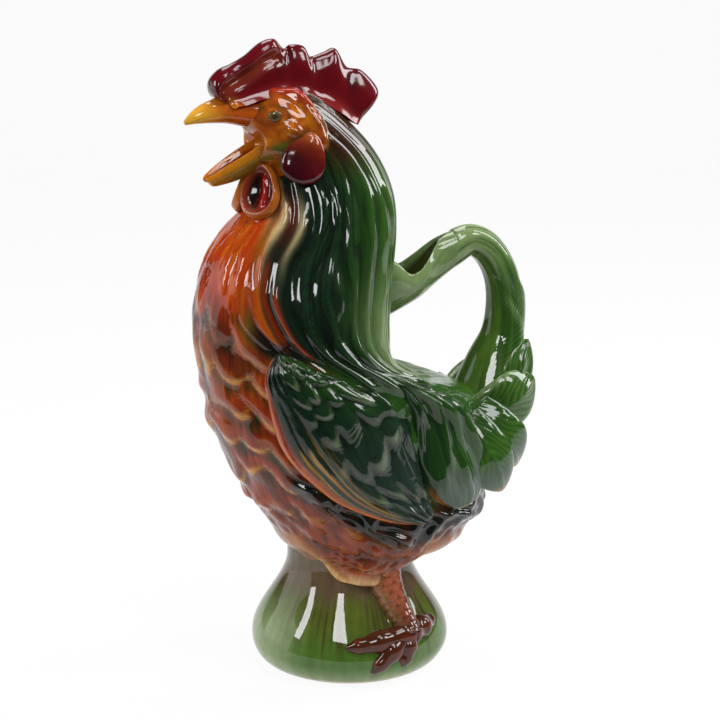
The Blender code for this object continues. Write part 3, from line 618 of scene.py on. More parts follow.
@dataclass
class Vessel:
    """The bird's hollow clay form: tilted oval rings from the hem to the mouth.

    A ring is given by its front and back point in the middle plane and its half breadth. A point on it is
    middle + (front - back) / 2 * cos(turn), with -breadth * sin(turn) across; turn 0 is the front.
    """

    rings: Table = (
        (-33.5, 54.5, 33.5, 54.5, 33.5), (-34.6, 64.0, 40.0, 62.2, 36.2), (-37.5, 71.0, 60.0, 66.0, 41.5),
        (-51.0, 92.0, 70.5, 80.0, 47.2), (-63.5, 111.5, 75.8, 99.0, 50.0),
        (-74.8, 136.0, 76.5, 122.0, 51.5),
        (-81.3, 162.0, 73.5, 142.5, 51.8), (-84.6, 190.0, 56.5, 152.2, 51.6),
        (-83.8, 208.0, 36.5, 155.6, 50.8),
        (-78.5, 226.0, 20.5, 166.5, 49.0), (-70.5, 239.0, 17.2, 185.0, 45.0),
        (-60.8, 249.0, 20.8, 211.0, 40.5),
        (-53.5, 257.0, 24.0, 236.0, 36.2), (-49.0, 264.0, 22.2, 259.5, 31.8),
        (-47.0, 269.5, 12.5, 280.5, 27.5),
        (-48.0, 273.5, -4.8, 299.0, 24.6), (-50.5, 276.0, -24.0, 313.0, 22.5),
        (-53.0, 277.5, -42.5, 316.5, 18.5), (-55.5, 278.7, -55.5, 309.5, 12.0),
        (-57.5, 279.6, -60.5, 298.5, 1.8),
    )
    samples: int = 400
    step: float = 0.004

    @property
    def last(self) -> int:
        """The mouth ring's number."""
        return len(self.rings) - 1

    def point(self, ring: Array, turn: Array) -> Array:
        """Points on the skin by ring number and turn.

        Args:
            ring: ring numbers.
            turn: turns from the front.

        Returns:
            The points.
        """
        row = along(self.rings, ring)
        swing = np.cos(turn)
        x = (row[..., 0] + row[..., 2]) / 2 + (row[..., 0] - row[..., 2]) / 2 * swing
        z = (row[..., 1] + row[..., 3]) / 2 + (row[..., 1] - row[..., 3]) / 2 * swing
        return vec(x, -row[..., 4] * np.sin(turn), z)

    def normal(self, ring: Array, turn: Array) -> Array:
        """Outward directions on the skin: the cross product of its two slopes.

        Args:
            ring: ring numbers.
            turn: turns from the front.

        Returns:
            Vectors of length 1.
        """
        above, below = np.minimum(ring + self.step, self.last), np.maximum(ring - self.step, 0.0)
        up = self.point(above, turn) - self.point(below, turn)
        across = self.point(ring, turn + self.step) - self.point(ring, turn - self.step)
        return unit(np.cross(across, up))

    def front_run(self, ring: Array) -> Array:
        """The length of the breast line from the hem up to a ring."""
        return self._run(ring, 0)

    def _run(self, ring: Array, column: int) -> Array:
        """The length of the front (0) or back (2) line up to a ring.

        Args:
            ring: ring numbers.
            column: where the line starts in a ring's row.

        Returns:
            Lengths in millimetres.
        """
        fine = np.linspace(0.0, self.last, self.samples)
        line = along(self.rings, fine)[:, column:column + 2]
        steps = np.concatenate([[0.0], np.cumsum(np.linalg.norm(np.diff(line, axis=0), axis=1))])
        return np.interp(ring, fine, steps)

    def even_rings(self, low: float, high: float, count: int) -> Array:
        """Ring numbers from low to high that lie about evenly along the skin.

        Args:
            low: the first ring number.
            high: the last one.
            count: how many.

        Returns:
            The ring numbers.
        """
        fine = np.linspace(low, high, self.samples)
        run = self._run(fine, 0) + self._run(fine, 2)
        return np.interp(np.linspace(run[0], run[-1], count), run, fine)


@dataclass
class Plumage:
    """The modelled relief and the paint of the bird's skin: hackle, breast, belly, back and face."""

    vessel: Vessel
    strands: int = 10
    strand_height: float = 2.0
    cape_height: float = 1.7
    cape_ring: float = 8.3
    edge_ring: float = 9.0
    edge_turn: float = 0.62
    edge_limits: Tuple[float, float] = (0.30, 1.05)
    face_ring: float = 14.9
    hem_ring: float = 1.9
    hem_dip: float = 1.8
    fluff_ring: float = 4.2
    fluff_height: float = 4.2
    lump_height: float = 1.9
    half_tufts: int = 6
    tuft_length: float = 21.0
    tuft_height: float = 5.6
    tuft_rings: Tuple[float, float] = (8.6, 7.4)
    belly_rings: Tuple[float, float] = (3.9, 3.1)
    breast_rings: Tuple[float, float] = (2.0, 10.6)
    girth: float = 52.0
    lock: Tuple[float, float] = (34.0, 11.0)
    lock_height: float = 1.5
    thigh_swell: float = 6.5
    hole_top: float = 219.0
    hole_size: Triple = (26.0, 12.8, 16.0)
    eye: Triple = (-49.0, -18.0, 303.0)

    def edge(self, ring: Array) -> Array:
        """The turn at which the hackle begins, which lies farther back lower down.

        Args:
            ring: ring numbers.

        Returns:
            Turns from the front.
        """
        above = ring - self.edge_ring
        least, most = self.edge_limits
        low = np.minimum(self.edge_turn + 0.15 * np.clip(-above, 0.0, None) ** 1.3, most)
        return np.where(above > 0, np.maximum(self.edge_turn - 0.065 * above, least), low)

    def share(self, ring: Array, side: Array) -> Array:
        """How far a place lies from the hackle's edge to the back: 0 to 1, and below 0 on the breast."""
        edge = self.edge(ring)
        return (side - edge) / (math.pi - edge)

    def column(self, ring: Array, side: Array) -> Array:
        """The count of half tufts from the breast line to the hackle's edge, and of half strands past it."""
        share = np.clip(self.share(ring, side), 0.0, None)
        return self.half_tufts * np.minimum(side / self.edge(ring), 1.0) + 2 * self.strands * share

    def cape_end(self, ring: Array, side: Array) -> Array:
        """The ring at which the hackle ends: lowest on the flank, highest on the breast.

        Args:
            ring: ring numbers.
            side: turns from the front, without sign.

        Returns:
            Ring numbers.
        """
        share = self.share(ring, side)
        front = 0.95 * ease(self.half_tufts / 2, self.half_tufts, self.column(ring, side))
        return self.cape_ring - front - 0.75 * ease(0.05, 0.30, share) + ease(0.45, 0.70, share)

    def dress(self, ring: Array, turn: Array) -> Coat:
        """Relief and paint at places on the skin.

        Args:
            ring: ring numbers.
            turn: turns from the front.

        Returns:
            The coat at the places.
        """
        side = np.abs(turn)
        base = self.vessel.point(ring, turn)
        face = ease(-0.12, 0.12, self._past_face_edge(ring, side))
        coat = self._belly(ring, side, self._breast(ring, side))
        strands, cape = self._hackle(ring, side)
        coat = coat.under(strands, cape * (1 - face)).under(self._face(base, ring, side), face)
        return self._filling_hole(base, coat)

    def hem(self, side: Array) -> Array:
        """The ring number of the belly's lower edge: it dips at the thigh and rises behind it."""
        return self.hem_ring - self.hem_dip * ease(0.40, 1.05, side) * ease(1.86, 1.62, side)

    def _past_face_edge(self, ring: Array, side: Array) -> Array:
        """Rings past the bare face's edge, which climbs from the ear to the comb's rear."""
        return ring - self.face_ring - 1.2 * ease(1.6, 2.5, side) + 0.7 * ease(1.2, 0.4, side)

    def _breast(self, ring: Array, side: Array) -> Coat:
        """Breast feathers: long soft locks near the throat, thick pointed tufts in rows lower down.

        Args:
            ring: ring numbers.
            side: turns from the front, without sign.

        Returns:
            The coat of the breast, and of the green back behind it.
        """
        vessel = self.vessel
        hem, throat = (vessel.front_run(mark) for mark in self.breast_rings)
        climb = vessel.front_run(ring * self.cape_ring / self.cape_end(ring, side)) - hem
        run, across = throat - vessel.front_run(ring), side * self.girth
        wander = drift(run * 0.045, across * 0.045, 1.0)
        sway = drift(run * 0.06, across * 0.05, 2.0)
        tufts = soft_shingles(10.0 - climb / self.tuft_length + 0.42 * wander,
                              self.column(ring, side) / 2 + 0.42 * sway,
                              roundness=0.60, blur=0.17, pillow=0.55)
        locks = soft_shingles(run / self.lock[0] + 0.5 * sway, across / self.lock[1] + 0.5 * wander,
                              roundness=0.6, blur=0.12)
        lower = ease(*self.tuft_rings, ring)
        fresh = tufts.luck
        curl = tufts.across * (0.6 - 0.3 * tufts.run)
        hair = drift(across * 0.55 + 3.0 * curl, run * 0.07, 4.0)
        fine = drift(across * 1.3 + 5.0 * curl, run * 0.08, 5.0)
        clump = drift(run * 0.09, across * 0.09, 16.0)
        streak = 0.7 * hair + 0.4 * drift(across * 0.2, run * 0.05, 7.0) + 0.3 * fine
        under = lower * ease(1.05, 0.55, tufts.run + 0.25 * hair)
        shade = np.maximum(under * ease(0.10, 0.35, fresh), lower * ease(0.12, 0.60, tufts.groove))
        mixed = ease(0.42, 0.70, side) * ease(6.4, 7.4, ring) * ease(9.6, 8.4, ring)
        dark = ease(0.60, 0.80, side) * ease(9.6, 8.8, ring) * ease(6.5, 7.3, ring)
        back = np.maximum(ease(1.10, 1.40, side) * ease(3.9, 4.5, ring),
                          ease(1.45, 1.75, side) * ease(3.2, 3.7, ring))
        colour = wash(
            tint(Pigment.FLAME, ring),
            # Light and dark hairs, and a redder lower breast.
            (Pigment.AMBER, 0.45 * ease(0.1, 0.8, streak)),
            (Pigment.RUST, 0.75 * ease(0.0, 0.8, -streak) + 0.70 * ease(7.8, 5.6, ring)),
            # Each tuft takes its own tone; the brick on some tufts is a painted pinkish sheen.
            (Pigment.BRICK, 0.20 * lower * ease(0.45, 0.85, fresh)),
            (Pigment.COCOA, 0.75 * lower * ease(0.40, 0.05, fresh)),
            (Pigment.TAWNY, 0.55 * lower * ease(0.1, 0.7, clump)),
            # Painted shade: dark brown under the tuft above and olive between the tufts on the flank; and
            # light tips.
            (Pigment.COCOA, 0.80 * under * ease(0.75, 0.35, fresh) + 0.95 * lower * tufts.groove),
            (Pigment.MOSS, 0.95 * shade * ease(0.12, 0.42, side) * ease(3.9, 4.8, ring)),
            (Pigment.HONEY, 0.75 * lower * ease(0.22, 0.62, tufts.tip) * ease(7.4, 6.2, ring)),
            # The hollow between breast and hackle.
            (Pigment.OLIVE, 0.65 * mixed * ease(-0.3, 0.6, streak)),
            (Pigment.PITCH, 0.95 * dark),
            # The back behind the wings.
            (Pigment.LEAF, back),
            (Pigment.GRASS, 0.6 * back * ease(2.3, 2.9, side)))
        height = lower * (self.tuft_height * (0.7 + 0.7 * fresh) * (tufts.height - 0.25) + 0.9 * clump)
        height = height + (1 - lower) * self.lock_height * (locks.height - 0.4) + 0.12 * hair + 0.02 * fine
        height = height * (1 - 0.8 * back * ease(1.9, 2.3, side))
        vane = vec(across * 0.55 + 3.0 * curl, run * 0.05, fresh * 3.0 * lower)
        return Coat(height, colour, tufts.groove * lower * 0.8 * (1 - back), vane)

    def _belly(self, ring: Array, side: Array, coat: Coat) -> Coat:
        """The dark wet-looking fluff under the wing, its black partly painted shade, the red-brown belly and
        the cream hem over the foot.

        Args:
            ring: ring numbers.
            side: turns from the front, without sign.
            coat: what lies on the skin so far.

        Returns:
            The coat with the belly on it.
        """
        low = ease(*self.belly_rings, ring)
        past_hem = ring - self.hem(side)
        edge, under = ease(1.25, 0.15, past_hem), ease(0.05, -0.30, past_hem)
        thigh = hump(1.40, 0.30, side) * ease(3.2, 0.8, ring)
        knot = drift(side * 8.0 + 0.6 * ring, ring * 2.6, 20.0) + 0.5 * drift(side * 15.0, ring * 5.0, 23.0)
        line = self.fluff_ring - 1.30 * ease(0.7, 1.5, side) + 0.45 * ease(1.7, 2.1, side)
        fluff = hump(0.0, 0.50, ring - line) * ease(0.62, 0.85, side)
        swirl = 0.40 * drift(side * 4.5, ring * 2.2, 15.0)
        lumps = np.cos(TURN * (side * 3.0 + swirl)) * np.cos(TURN * ((line - ring) * 0.8 + 0.2 - swirl))
        lumps = lumps + 0.4 * drift(side * 7.0, ring * 3.0, 14.0)
        pale = (0.70 - 0.50 * ease(1.6, 1.9, side)) * ease(0.80, 0.0, past_hem)
        pale = pale * (0.55 + 0.45 * ease(-0.5, 0.4, knot)) * (0.35 + 0.65 * ease(0.50, 0.90, side))
        colour = wash(
            coat.colour,
            # The belly under the tufts.
            (Pigment.RUST, 0.50 * low),
            (Pigment.COCOA, 0.75 * low * ease(0.0, 0.8, -knot) + 0.45 * low * ease(1.7, 2.1, side)),
            (Pigment.TAWNY, 0.45 * low * ease(0.2, 0.9, knot)),
            # The fluff under the wing: black that is partly painted shade beneath the wing, and brown.
            (Pigment.PITCH, 1.3 * fluff),
            (Pigment.COCOA, 0.55 * fluff * ease(0.1, 0.9, drift(side * 9.0, ring * 3.0, 27.0))),
            # The hem, the thigh and what lies under them.
            (Pigment.TAWNY, 0.50 * edge),
            (Pigment.CREAM, pale),
            (Pigment.HONEY, 0.25 * ease(0.70, 0.0, past_hem) * ease(0.3, 0.7, side) * ease(1.9, 1.6, side)),
            (Pigment.CLAY, 0.35 * thigh),
            (Pigment.UMBER, 0.5 * under))
        height = (coat.height * (1 - 0.1 * low) + 1.3 * low * knot) * (1 - 0.8 * fluff)
        height = height + fluff * (self.fluff_height + self.lump_height * lumps)
        height = height * (1 - 0.85 * edge) + hump(0.22, 0.30, past_hem)
        height = height * (1 - under) - 1.6 * under * ease(2.2, 1.6, side)
        return Coat(height + self.thigh_swell * thigh * (1 - under), colour, coat.groove * (1 - 0.7 * edge),
                    coat.vane)

    def _hackle(self, ring: Array, side: Array) -> Tuple[Coat, Array]:
        """Broad soft strands from the head over the shoulders, with ragged ends that lie on the body.

        Args:
            ring: ring numbers.
            side: turns from the front, without sign.

        Returns:
            The strands' coat, and how much of it lies at each place.
        """
        share = self.share(ring, side)
        count = self.strands * share - 0.5 + 0.34 * drift(share * 7.0, ring * 0.60, 3.0)
        count = count + 0.10 * drift(share * 21.0, ring * 1.1, 13.0)
        strand = np.round(count)
        cross = 2 * (count - strand)
        reach = ring - self.cape_end(ring, side) - 0.5 * (chance(strand, 5.0) - 0.5) - 0.45 * cross ** 2
        cape = ease(0.0, 0.24, reach) * ease(-0.02, 0.02, share)
        ridge = 0.5 + 0.5 * np.cos(math.pi * cross)
        bend = 1.2 * drift(share * 14.0, ring * 0.8, 9.0)
        lock = np.cos(TURN * (2.0 * count + 0.5 * bend))
        hair = np.cos(TURN * (4.6 * count + bend))
        full = 0.35 + 0.9 * ease(-0.7, 0.7, drift(ring * 0.7, strand * 3.3, 6.0))
        wave = 0.8 * drift(ring * 0.8, strand * 1.7, 8.0)
        lift = self.cape_height * ease(11.5, 8.0, ring)
        calm = 1 - 0.80 * ease(11.0, 13.6, ring) * ease(0.06, 0.20, share)
        relief = (self.strand_height * full + wave) * calm * ridge - 0.9 * calm + 0.05 * lock + lift
        front = ease(0.20, -0.20, count)
        stripe = hump(0.36, 0.13, count) + hump(0.92, 0.12, count) * ease(9.6, 8.6, ring)
        pale = hump(0.05, 0.18, count) + 0.7 * hump(1.0, 0.14, count)
        colour = wash(
            tint(Pigment.BOTTLE, ring),
            # From bottle green on the side to grass green on the back.
            (Pigment.LEAF, ease(0.31, 0.57, share)),
            (Pigment.GRASS, 0.8 * ease(0.51, 0.83, share)),
            (Pigment.LEAF, 0.55 * ease(8.3, 7.2, ring) * ease(0.15, 0.31, share)),
            # Dark and light locks within a strand.
            (Pigment.PITCH, 0.50 * ease(0.1, 0.9, -lock) * ease(0.63, 0.39, share)),
            (Pigment.LEAF, 0.30 * ease(0.2, 0.9, hair) * ease(0.10, 0.30, share)),
            # The foremost strands: amber and flame low down, cream and rust by the wattle; the cream is
            # partly painted highlight on the strands.
            (Pigment.AMBER, 0.80 * front),
            (Pigment.FLAME, 0.75 * front * ease(10.8, 9.4, ring) + 0.85 * stripe * ease(10.4, 9.2, ring)),
            (Pigment.CREAM, 0.30 * front * ease(10.4, 11.6, ring)),
            (Pigment.RUST, 0.60 * ease(1.05, 0.60, count) * hump(11.9, 1.0, ring)),
            (Pigment.CREAM, 0.65 * pale * hump(11.4, 1.1, ring)),
            # A pale bend at the back, which is a painted highlight, and the red nape.
            (Pigment.SAGE, 0.55 * hump(9.4, 1.3, ring) * ease(0.42, 0.66, share)),
            (Pigment.GARNET, 0.85 * ease(13.2, 14.8, ring) * ease(1.2, 1.9, side)))
        groove = 0.8 * (1 - ridge) ** 2 + 0.25 * ease(0.3, 1.0, -lock)
        return Coat(relief, colour, groove, vec(count * 6.5, ring * 0.45, strand * 0.37)), cape

    def _face(self, base: Array, ring: Array, side: Array) -> Coat:
        """The bare face: amber with a red brow, an eye ring, a cheek and olive shadows.

        Args:
            base: points on the bare skin.
            ring: ring numbers.
            side: turns from the front, without sign.

        Returns:
            The face's coat.
        """
        x, z = base[..., 0] - self.eye[0], base[..., 2] - self.eye[2]
        away = np.linalg.norm(vec(x, -np.abs(base[..., 1]) - self.eye[1], z), axis=-1)
        crown = z - (12.0 - 0.00085 * np.abs(x) ** 3)
        cheek = hump(7.5, 5.0, x) * hump(-7.0, 3.2, z + 0.4 * (x - 7.5))
        roll = hump(0.34, 0.28, self._past_face_edge(ring, side)) * ease(1.0, 1.4, side)
        jaw = hump(2.0, 9.0, x) * hump(-17.0, 4.0, z)
        fold = np.sin((z + 0.35 * x) * 0.55 + 1.5 * drift(x * 0.12, z * 0.12, 12.0)) * ease(2.0, 8.0, x)
        crease = hump(-9.5, 2.4, x + 0.3 * z) * hump(0.0, 8.0, z)
        uneven = drift(x * 0.17, z * 0.17, 17.0) + 0.2 * drift(x * 0.36, z * 0.36, 18.0)
        brow = hump(-1.2, 2.0, crown)
        relief = 1.9 * brow + 2.6 * cheek + jaw + 0.14 * fold + 1.9 * roll + 1.2 * crease
        relief = (relief + 0.16 * uneven) * (1 - 0.5 * hump(0.0, 5.0, away))
        patchy = drift(x * 0.22, z * 0.22, 11.0) + 0.6 * drift(x * 0.5, z * 0.5, 19.0)
        lid = np.hypot(x / 7.4, (z - 0.10 * x) / 4.6)
        colour = wash(
            tint(Pigment.TAWNY, ring),
            # Patches of amber and olive.
            (Pigment.AMBER, 0.60 * ease(0.0, 0.8, patchy)),
            (Pigment.OLIVE, 0.70 * ease(0.05, 0.8, -patchy) + 0.45 * jaw),
            # The ring round the eye, and the lids.
            (Pigment.RUST, 0.45 * hump(7.5, 2.2, away) + 0.60 * ease(-3.0, -9.0, x)),
            (Pigment.COCOA, 0.40 * hump(1.0, 0.16, lid)),
            # The roll at the face's edge, the brow, the crown and the ear.
            (Pigment.OXBLOOD, 0.55 * roll),
            (Pigment.SCARLET, 0.85 * hump(-1.0, 2.8, crown)),
            (Pigment.OXBLOOD, ease(-1.0, 2.0, crown)),
            (Pigment.GARNET, 0.9 * hump(14.0, 9.0, x) * hump(-15.0, 8.0, z)),
            # The mouth's edge.
            (Pigment.AMBER, 0.75 * ease(18.0, 18.8, ring)))
        groove = 0.35 * hump(3.9, 1.0, away) + 0.3 * ease(0.1, 0.9, -uneven)
        return Coat(relief, colour, groove, base[..., [0, 2, 1]] * 0.12)

    def _filling_hole(self, base: Array, coat: Coat) -> Coat:
        """The hole at the back of the neck that the trough fills through: the skin turned deep inwards.

        Args:
            base: points on the bare skin.
            coat: what lies on the skin so far.

        Returns:
            The coat with the hole in it.
        """
        drop, half, depth = self.hole_size
        room = half * arc(np.clip((self.hole_top - base[..., 2]) / drop, -1.0, 1.0))
        hole = ease(-0.6, 1.4, room - np.abs(base[..., 1]))
        hole = hole * (base[..., 2] < self.hole_top) * (base[..., 0] > 0.0)
        return replace(coat, height=coat.height * (1 - hole) - depth * hole,
                       colour=wash(coat.colour, (Pigment.UMBER, hole)))


@dataclass
class Bird:
    """The body, the neck and the head: three lengths of one feathered skin."""

    plumage: Plumage
    body_grid: Tuple[int, int] = (296, 320)
    neck_rows: int = 160
    head_grid: Tuple[int, int] = (150, 288)
    hem_ring: float = 0.05
    seams: Tuple[float, float] = (9.0, 13.0)
    mouth_inset: float = 0.02
    lip_radius: float = 1.2
    lip_steps: int = 7
    gape_depth: float = 10.0
    gape_height: float = 286.5
    throat: Triple = (-32.0, 0.0, 283.0)
    throat_steps: int = 14

    @staticmethod
    def _turns(columns: int) -> Array:
        """The turns of a ring's points, with the seam at the back."""
        return (np.arange(columns) + 0.5) * TURN / columns - math.pi

    def _length(self, rings: Array) -> Patch:
        """One length of the skin between its first and last ring.

        The points are skin + normal * relief. The shading normals come from the neighbours on a grid that
        runs one row past each end, so that two lengths shade alike where they meet.

        Args:
            rings: a grid of ring numbers, with one spare row at each end.

        Returns:
            The patch without its spare rows.
        """
        turn = np.broadcast_to(self._turns(rings.shape[1]), rings.shape)
        vessel = self.plumage.vessel
        coat = self.plumage.dress(rings, turn)
        points = vessel.point(rings, turn) + vessel.normal(rings, turn) * coat.height[..., None]
        normals = unit(np.cross(round_slope(points), np.gradient(points, axis=0)))
        kept = slice(1, -1)
        return Patch(points[kept], coat.colour[kept], coat.vane[kept], coat.groove[kept],
                     normals=normals[kept])

    def _rings(self, low: Array, high: Array, count: int) -> Array:
        """A grid of ring numbers between two ends for each column, with a spare row past each end.

        Args:
            low: the first ring number of each column.
            high: the last one.
            count: rows between them.

        Returns:
            The ring numbers.
        """
        even = self.plumage.vessel.even_rings(float(low.mean()), float(high.mean()), count)
        share = ((even - even[0]) / (even[-1] - even[0]))[:, None]
        rings = low + (high - low) * share
        return np.concatenate([2 * rings[:1] - rings[1:2], rings, 2 * rings[-1:] - rings[-2:-1]])

    def _head(self) -> Patch:
        """The head, rolled over at the mouth's edge and lined down the throat to a closed end.

        Returns:
            A patch that is open at the neck.
        """
        rows, columns = self.head_grid
        low, ends = self.seams[1], np.full((1, columns), self.plumage.vessel.last - self.mouth_inset)
        step = (ends - low) / (rows - 1)
        share = np.linspace(0.0, 1.0, rows)[:, None]
        rings = np.concatenate([low + (ends - low) * share - step, ends, ends])
        skin = self._length(rings)
        gape = ease(17.2, 19.0, rings[1:-1]) * hump(self.gape_height, 6.5, skin.points[..., 2])
        skin.points[..., 0] += self.gape_depth * gape
        edge, before = skin.points[-1], skin.points[-4]
        ahead, rise = unit(edge - before), skin.normals[-3]
        centre = edge.mean(axis=0)
        extra: List[Array] = []
        for angle in np.linspace(0.35, math.pi, self.lip_steps):
            roll = rise * (math.cos(angle) - 1.0) + ahead * math.sin(angle)
            extra.append(edge + roll * self.lip_radius)
        start = extra[-1]
        for part in np.arange(1, self.throat_steps + 1) / self.throat_steps:
            target = centre + (np.array(self.throat) - centre) * part
            extra.append(target + (start - centre) * (1 - part) ** 0.6)
        deep = np.concatenate([np.zeros(self.lip_steps), np.linspace(0.1, 1.0, self.throat_steps)])
        deep = deep[:, None] * np.ones(columns)
        # Painted shade: the lining runs from amber at the lip through rust to near black down the throat.
        colour = wash(tint(Pigment.AMBER, deep), (Pigment.RUST, ease(0.0, 0.08, deep)),
                      (Pigment.INK, 0.95 * ease(0.10, 0.5, deep)))
        lining = Patch(np.stack(extra), colour, np.zeros_like(colour))
        joined = (np.concatenate([getattr(skin, name), getattr(lining, name)])
                  for name in ("points", "colour", "vane", "groove"))
        return Patch(*joined, end_pole=True)

    def build(self) -> None:
        """Makes the three lengths of the skin; the cut from body to neck is flat and climbs to the back."""
        rows, columns = self.body_grid
        hem, nape = np.full(columns, self.hem_ring), np.full(columns, self.seams[1])
        shoulder = self.seams[0] + (1 - np.cos(self._turns(columns))) / 2
        body = self._length(self._rings(hem, shoulder, rows))
        make_piece("feathered_body", [body], BREAST_GLAZE, ["body"])
        neck = self._length(self._rings(shoulder, nape, self.neck_rows))
        make_piece("hackle_neck", [neck], HACKLE_GLAZE, ["neck"])
        make_piece("bare_faced_head", [self._head()], FACE_GLAZE, ["head"])


@dataclass
class LaidFeather:
    """A raised field laid on the bird's flank between two edges, which meet at both ends.

    A place is (share along, share across) from the front edge to the rear one; the edges are curves of
    ring number and turn on the skin. The underside lies a little below the skin, so the piece is closed.
    """

    vessel: Vessel
    front: Table
    rear: Table
    thickness: float
    rows: int
    columns: int
    root: float = 2.0
    under_columns: int = 9
    sink: float = 0.8

    def lattice(self) -> Arrays:
        """Share along, and share across from -1 at the front edge to 1 at the rear one."""
        run, across = grid(self.rows, self.columns, closed=False)
        return run, across * 2 - 1

    def places(self, run: Array, cross: Array) -> Arrays:
        """Ring number and turn on the skin for places in the field.

        Args:
            run: shares along.
            cross: shares across.

        Returns:
            Ring numbers and turns.
        """
        front = along(self.front, run * (len(self.front) - 1))
        rear = along(self.rear, run * (len(self.rear) - 1))
        place = blend(front, rear, (cross + 1) / 2)
        return place[..., 0], place[..., 1]

    def patch(self, coat: Coat) -> Patch:
        """The field with its coat, closed by its underside.

        Args:
            coat: relief and paint over the skin.

        Returns:
            A closed patch.
        """
        ring, turn = self.places(*self.lattice())
        skin, normal = self.vessel.point(ring, turn), self.vessel.normal(ring, turn)
        top = skin + normal * coat.height[..., None]
        pick = np.linspace(self.columns - 1, 0, self.under_columns).astype(int)
        under = (skin - normal * self.root)[:, pick]
        join = (np.concatenate([a, a[:, pick]], axis=1) for a in (coat.colour, coat.vane, coat.groove))
        return Patch(np.concatenate([top, under], axis=1), *join, start_pole=True, end_pole=True)


@dataclass
class Wings(LaidFeather):
    """Both folded wings: covert scallops over long flight feathers with an orange leading edge."""

    front: Table = (
        (7.30, 0.92), (6.60, 0.77), (6.05, 0.74), (5.50, 0.74), (5.00, 0.76), (4.45, 0.86), (3.80, 1.06),
        (3.32, 1.42), (3.20, 1.84))
    rear: Table = (
        (7.30, 0.92), (7.25, 1.10), (7.05, 1.28), (6.85, 1.47), (6.50, 1.66), (5.85, 1.74), (4.95, 1.77),
        (4.05, 1.80), (3.20, 1.84))
    thickness: float = 7.4
    rows: int = 230
    columns: int = 170
    covert_rows: float = 8.0
    covert_columns: float = 3.0
    covert_height: float = 5.4
    quill_rows: float = 2.3
    quill_columns: float = 5.0
    quill_height: float = 1.6
    shoulder_swell: float = 1.6

    def build(self) -> None:
        """Makes the left wing and its mirror image."""
        run, cross = self.lattice()
        rim = arc(cross, 5)
        taper = ease(0.0, 0.16, run) * ease(1.0, 0.93, run)
        flight = ease(-0.15, -0.45, cross + 0.55 * (run - 0.5))
        covert = 1 - flight
        down = run * self.covert_rows + 0.5 * drift(run * 6, cross * 3, 21.0)
        aside = cross * self.covert_columns + 0.25 * run + 0.3 * drift(run * 7, cross * 4, 24.0)
        scales = soft_shingles(down, aside, roundness=0.6, blur=0.19, pillow=0.30)
        quills = soft_shingles(run * self.quill_rows, cross * self.quill_columns + 1.2 * run,
                               roundness=0.5, blur=0.10)
        relief = covert * self.covert_height * (scales.height - 0.4)
        relief = relief + flight * self.quill_height * (quills.height - 0.4) + 1.3 * hump(-0.90, 0.08, cross)
        relief = relief + 0.9 * drift(run * 6.0, cross * 2.6, 25.0) * covert
        relief = relief + 0.12 * drift(run * 19.0, cross * 8.0, 26.0)
        shoulder = self.shoulder_swell * hump(0.34, 0.20, run) * hump(-0.10, 0.55, cross)
        dome = 1 - (np.clip(cross + 0.25, 0.0, None) / 1.3) ** 2 * ease(1.0, 0.7, run)
        height = (self.thickness * taper * dome + shoulder + relief * ease(0.02, 0.15, run)) * rim
        edge = ease(-0.70, -0.90, cross) * ease(1.0, 0.9, run)
        line = ease(0.55, 0.95, np.abs(quills.across)) * flight * ease(0.48, 0.66, run)
        stroke = ease(0.25, 0.75, drift(cross * 30.0 + 6.0 * run, run * 5.0, 28.0))
        colour = wash(
            tint(Pigment.BOTTLE, run),
            # A greener rear, and a grey painted reflection of the floor towards the tip.
            (Pigment.LEAF, 0.75 * ease(-0.4, 0.7, cross) * ease(0.75, 0.2, run)),
            (Pigment.STEEL, 0.25 * ease(0.45, 0.90, run)),
            # Pale tips of the coverts, and painted shade at their roots under the covert above.
            (Pigment.SAGE, 0.60 * ease(0.10, 0.75, scales.tip) * covert * ease(0.1, 0.8, scales.luck)),
            (Pigment.PITCH, 0.9 * ease(0.05, 0.50, scales.groove) * covert),
            # Light edges and strokes of the flight feathers.
            (Pigment.AMBER, 0.55 * line),
            (Pigment.HONEY, 0.45 * hump(-0.62, 0.22, cross) * stroke * ease(0.30, 0.50, run)),
            # The orange leading edge.
            (Pigment.FLAME, 0.9 * edge),
            (Pigment.PEACH, 0.55 * ease(-0.82, -0.95, cross) * ease(0.9, 0.7, run)),
            (Pigment.AMBER, 0.6 * edge * ease(0.5, 0.8, run)))
        groove = covert * scales.groove + flight * (np.abs(quills.across) ** 4 * 0.8)
        across = covert * scales.across + flight * quills.across
        lengthwise = covert * scales.run + flight * quills.run * 3.0
        vane = vec(across * 5.0, lengthwise * 0.8, scales.luck * 8.0)
        coat = Coat(height - self.sink * (1 - rim * taper), colour, groove, vane)
        make_pair("folded_wing", "wing", self.patch(coat), WING_GLAZE)


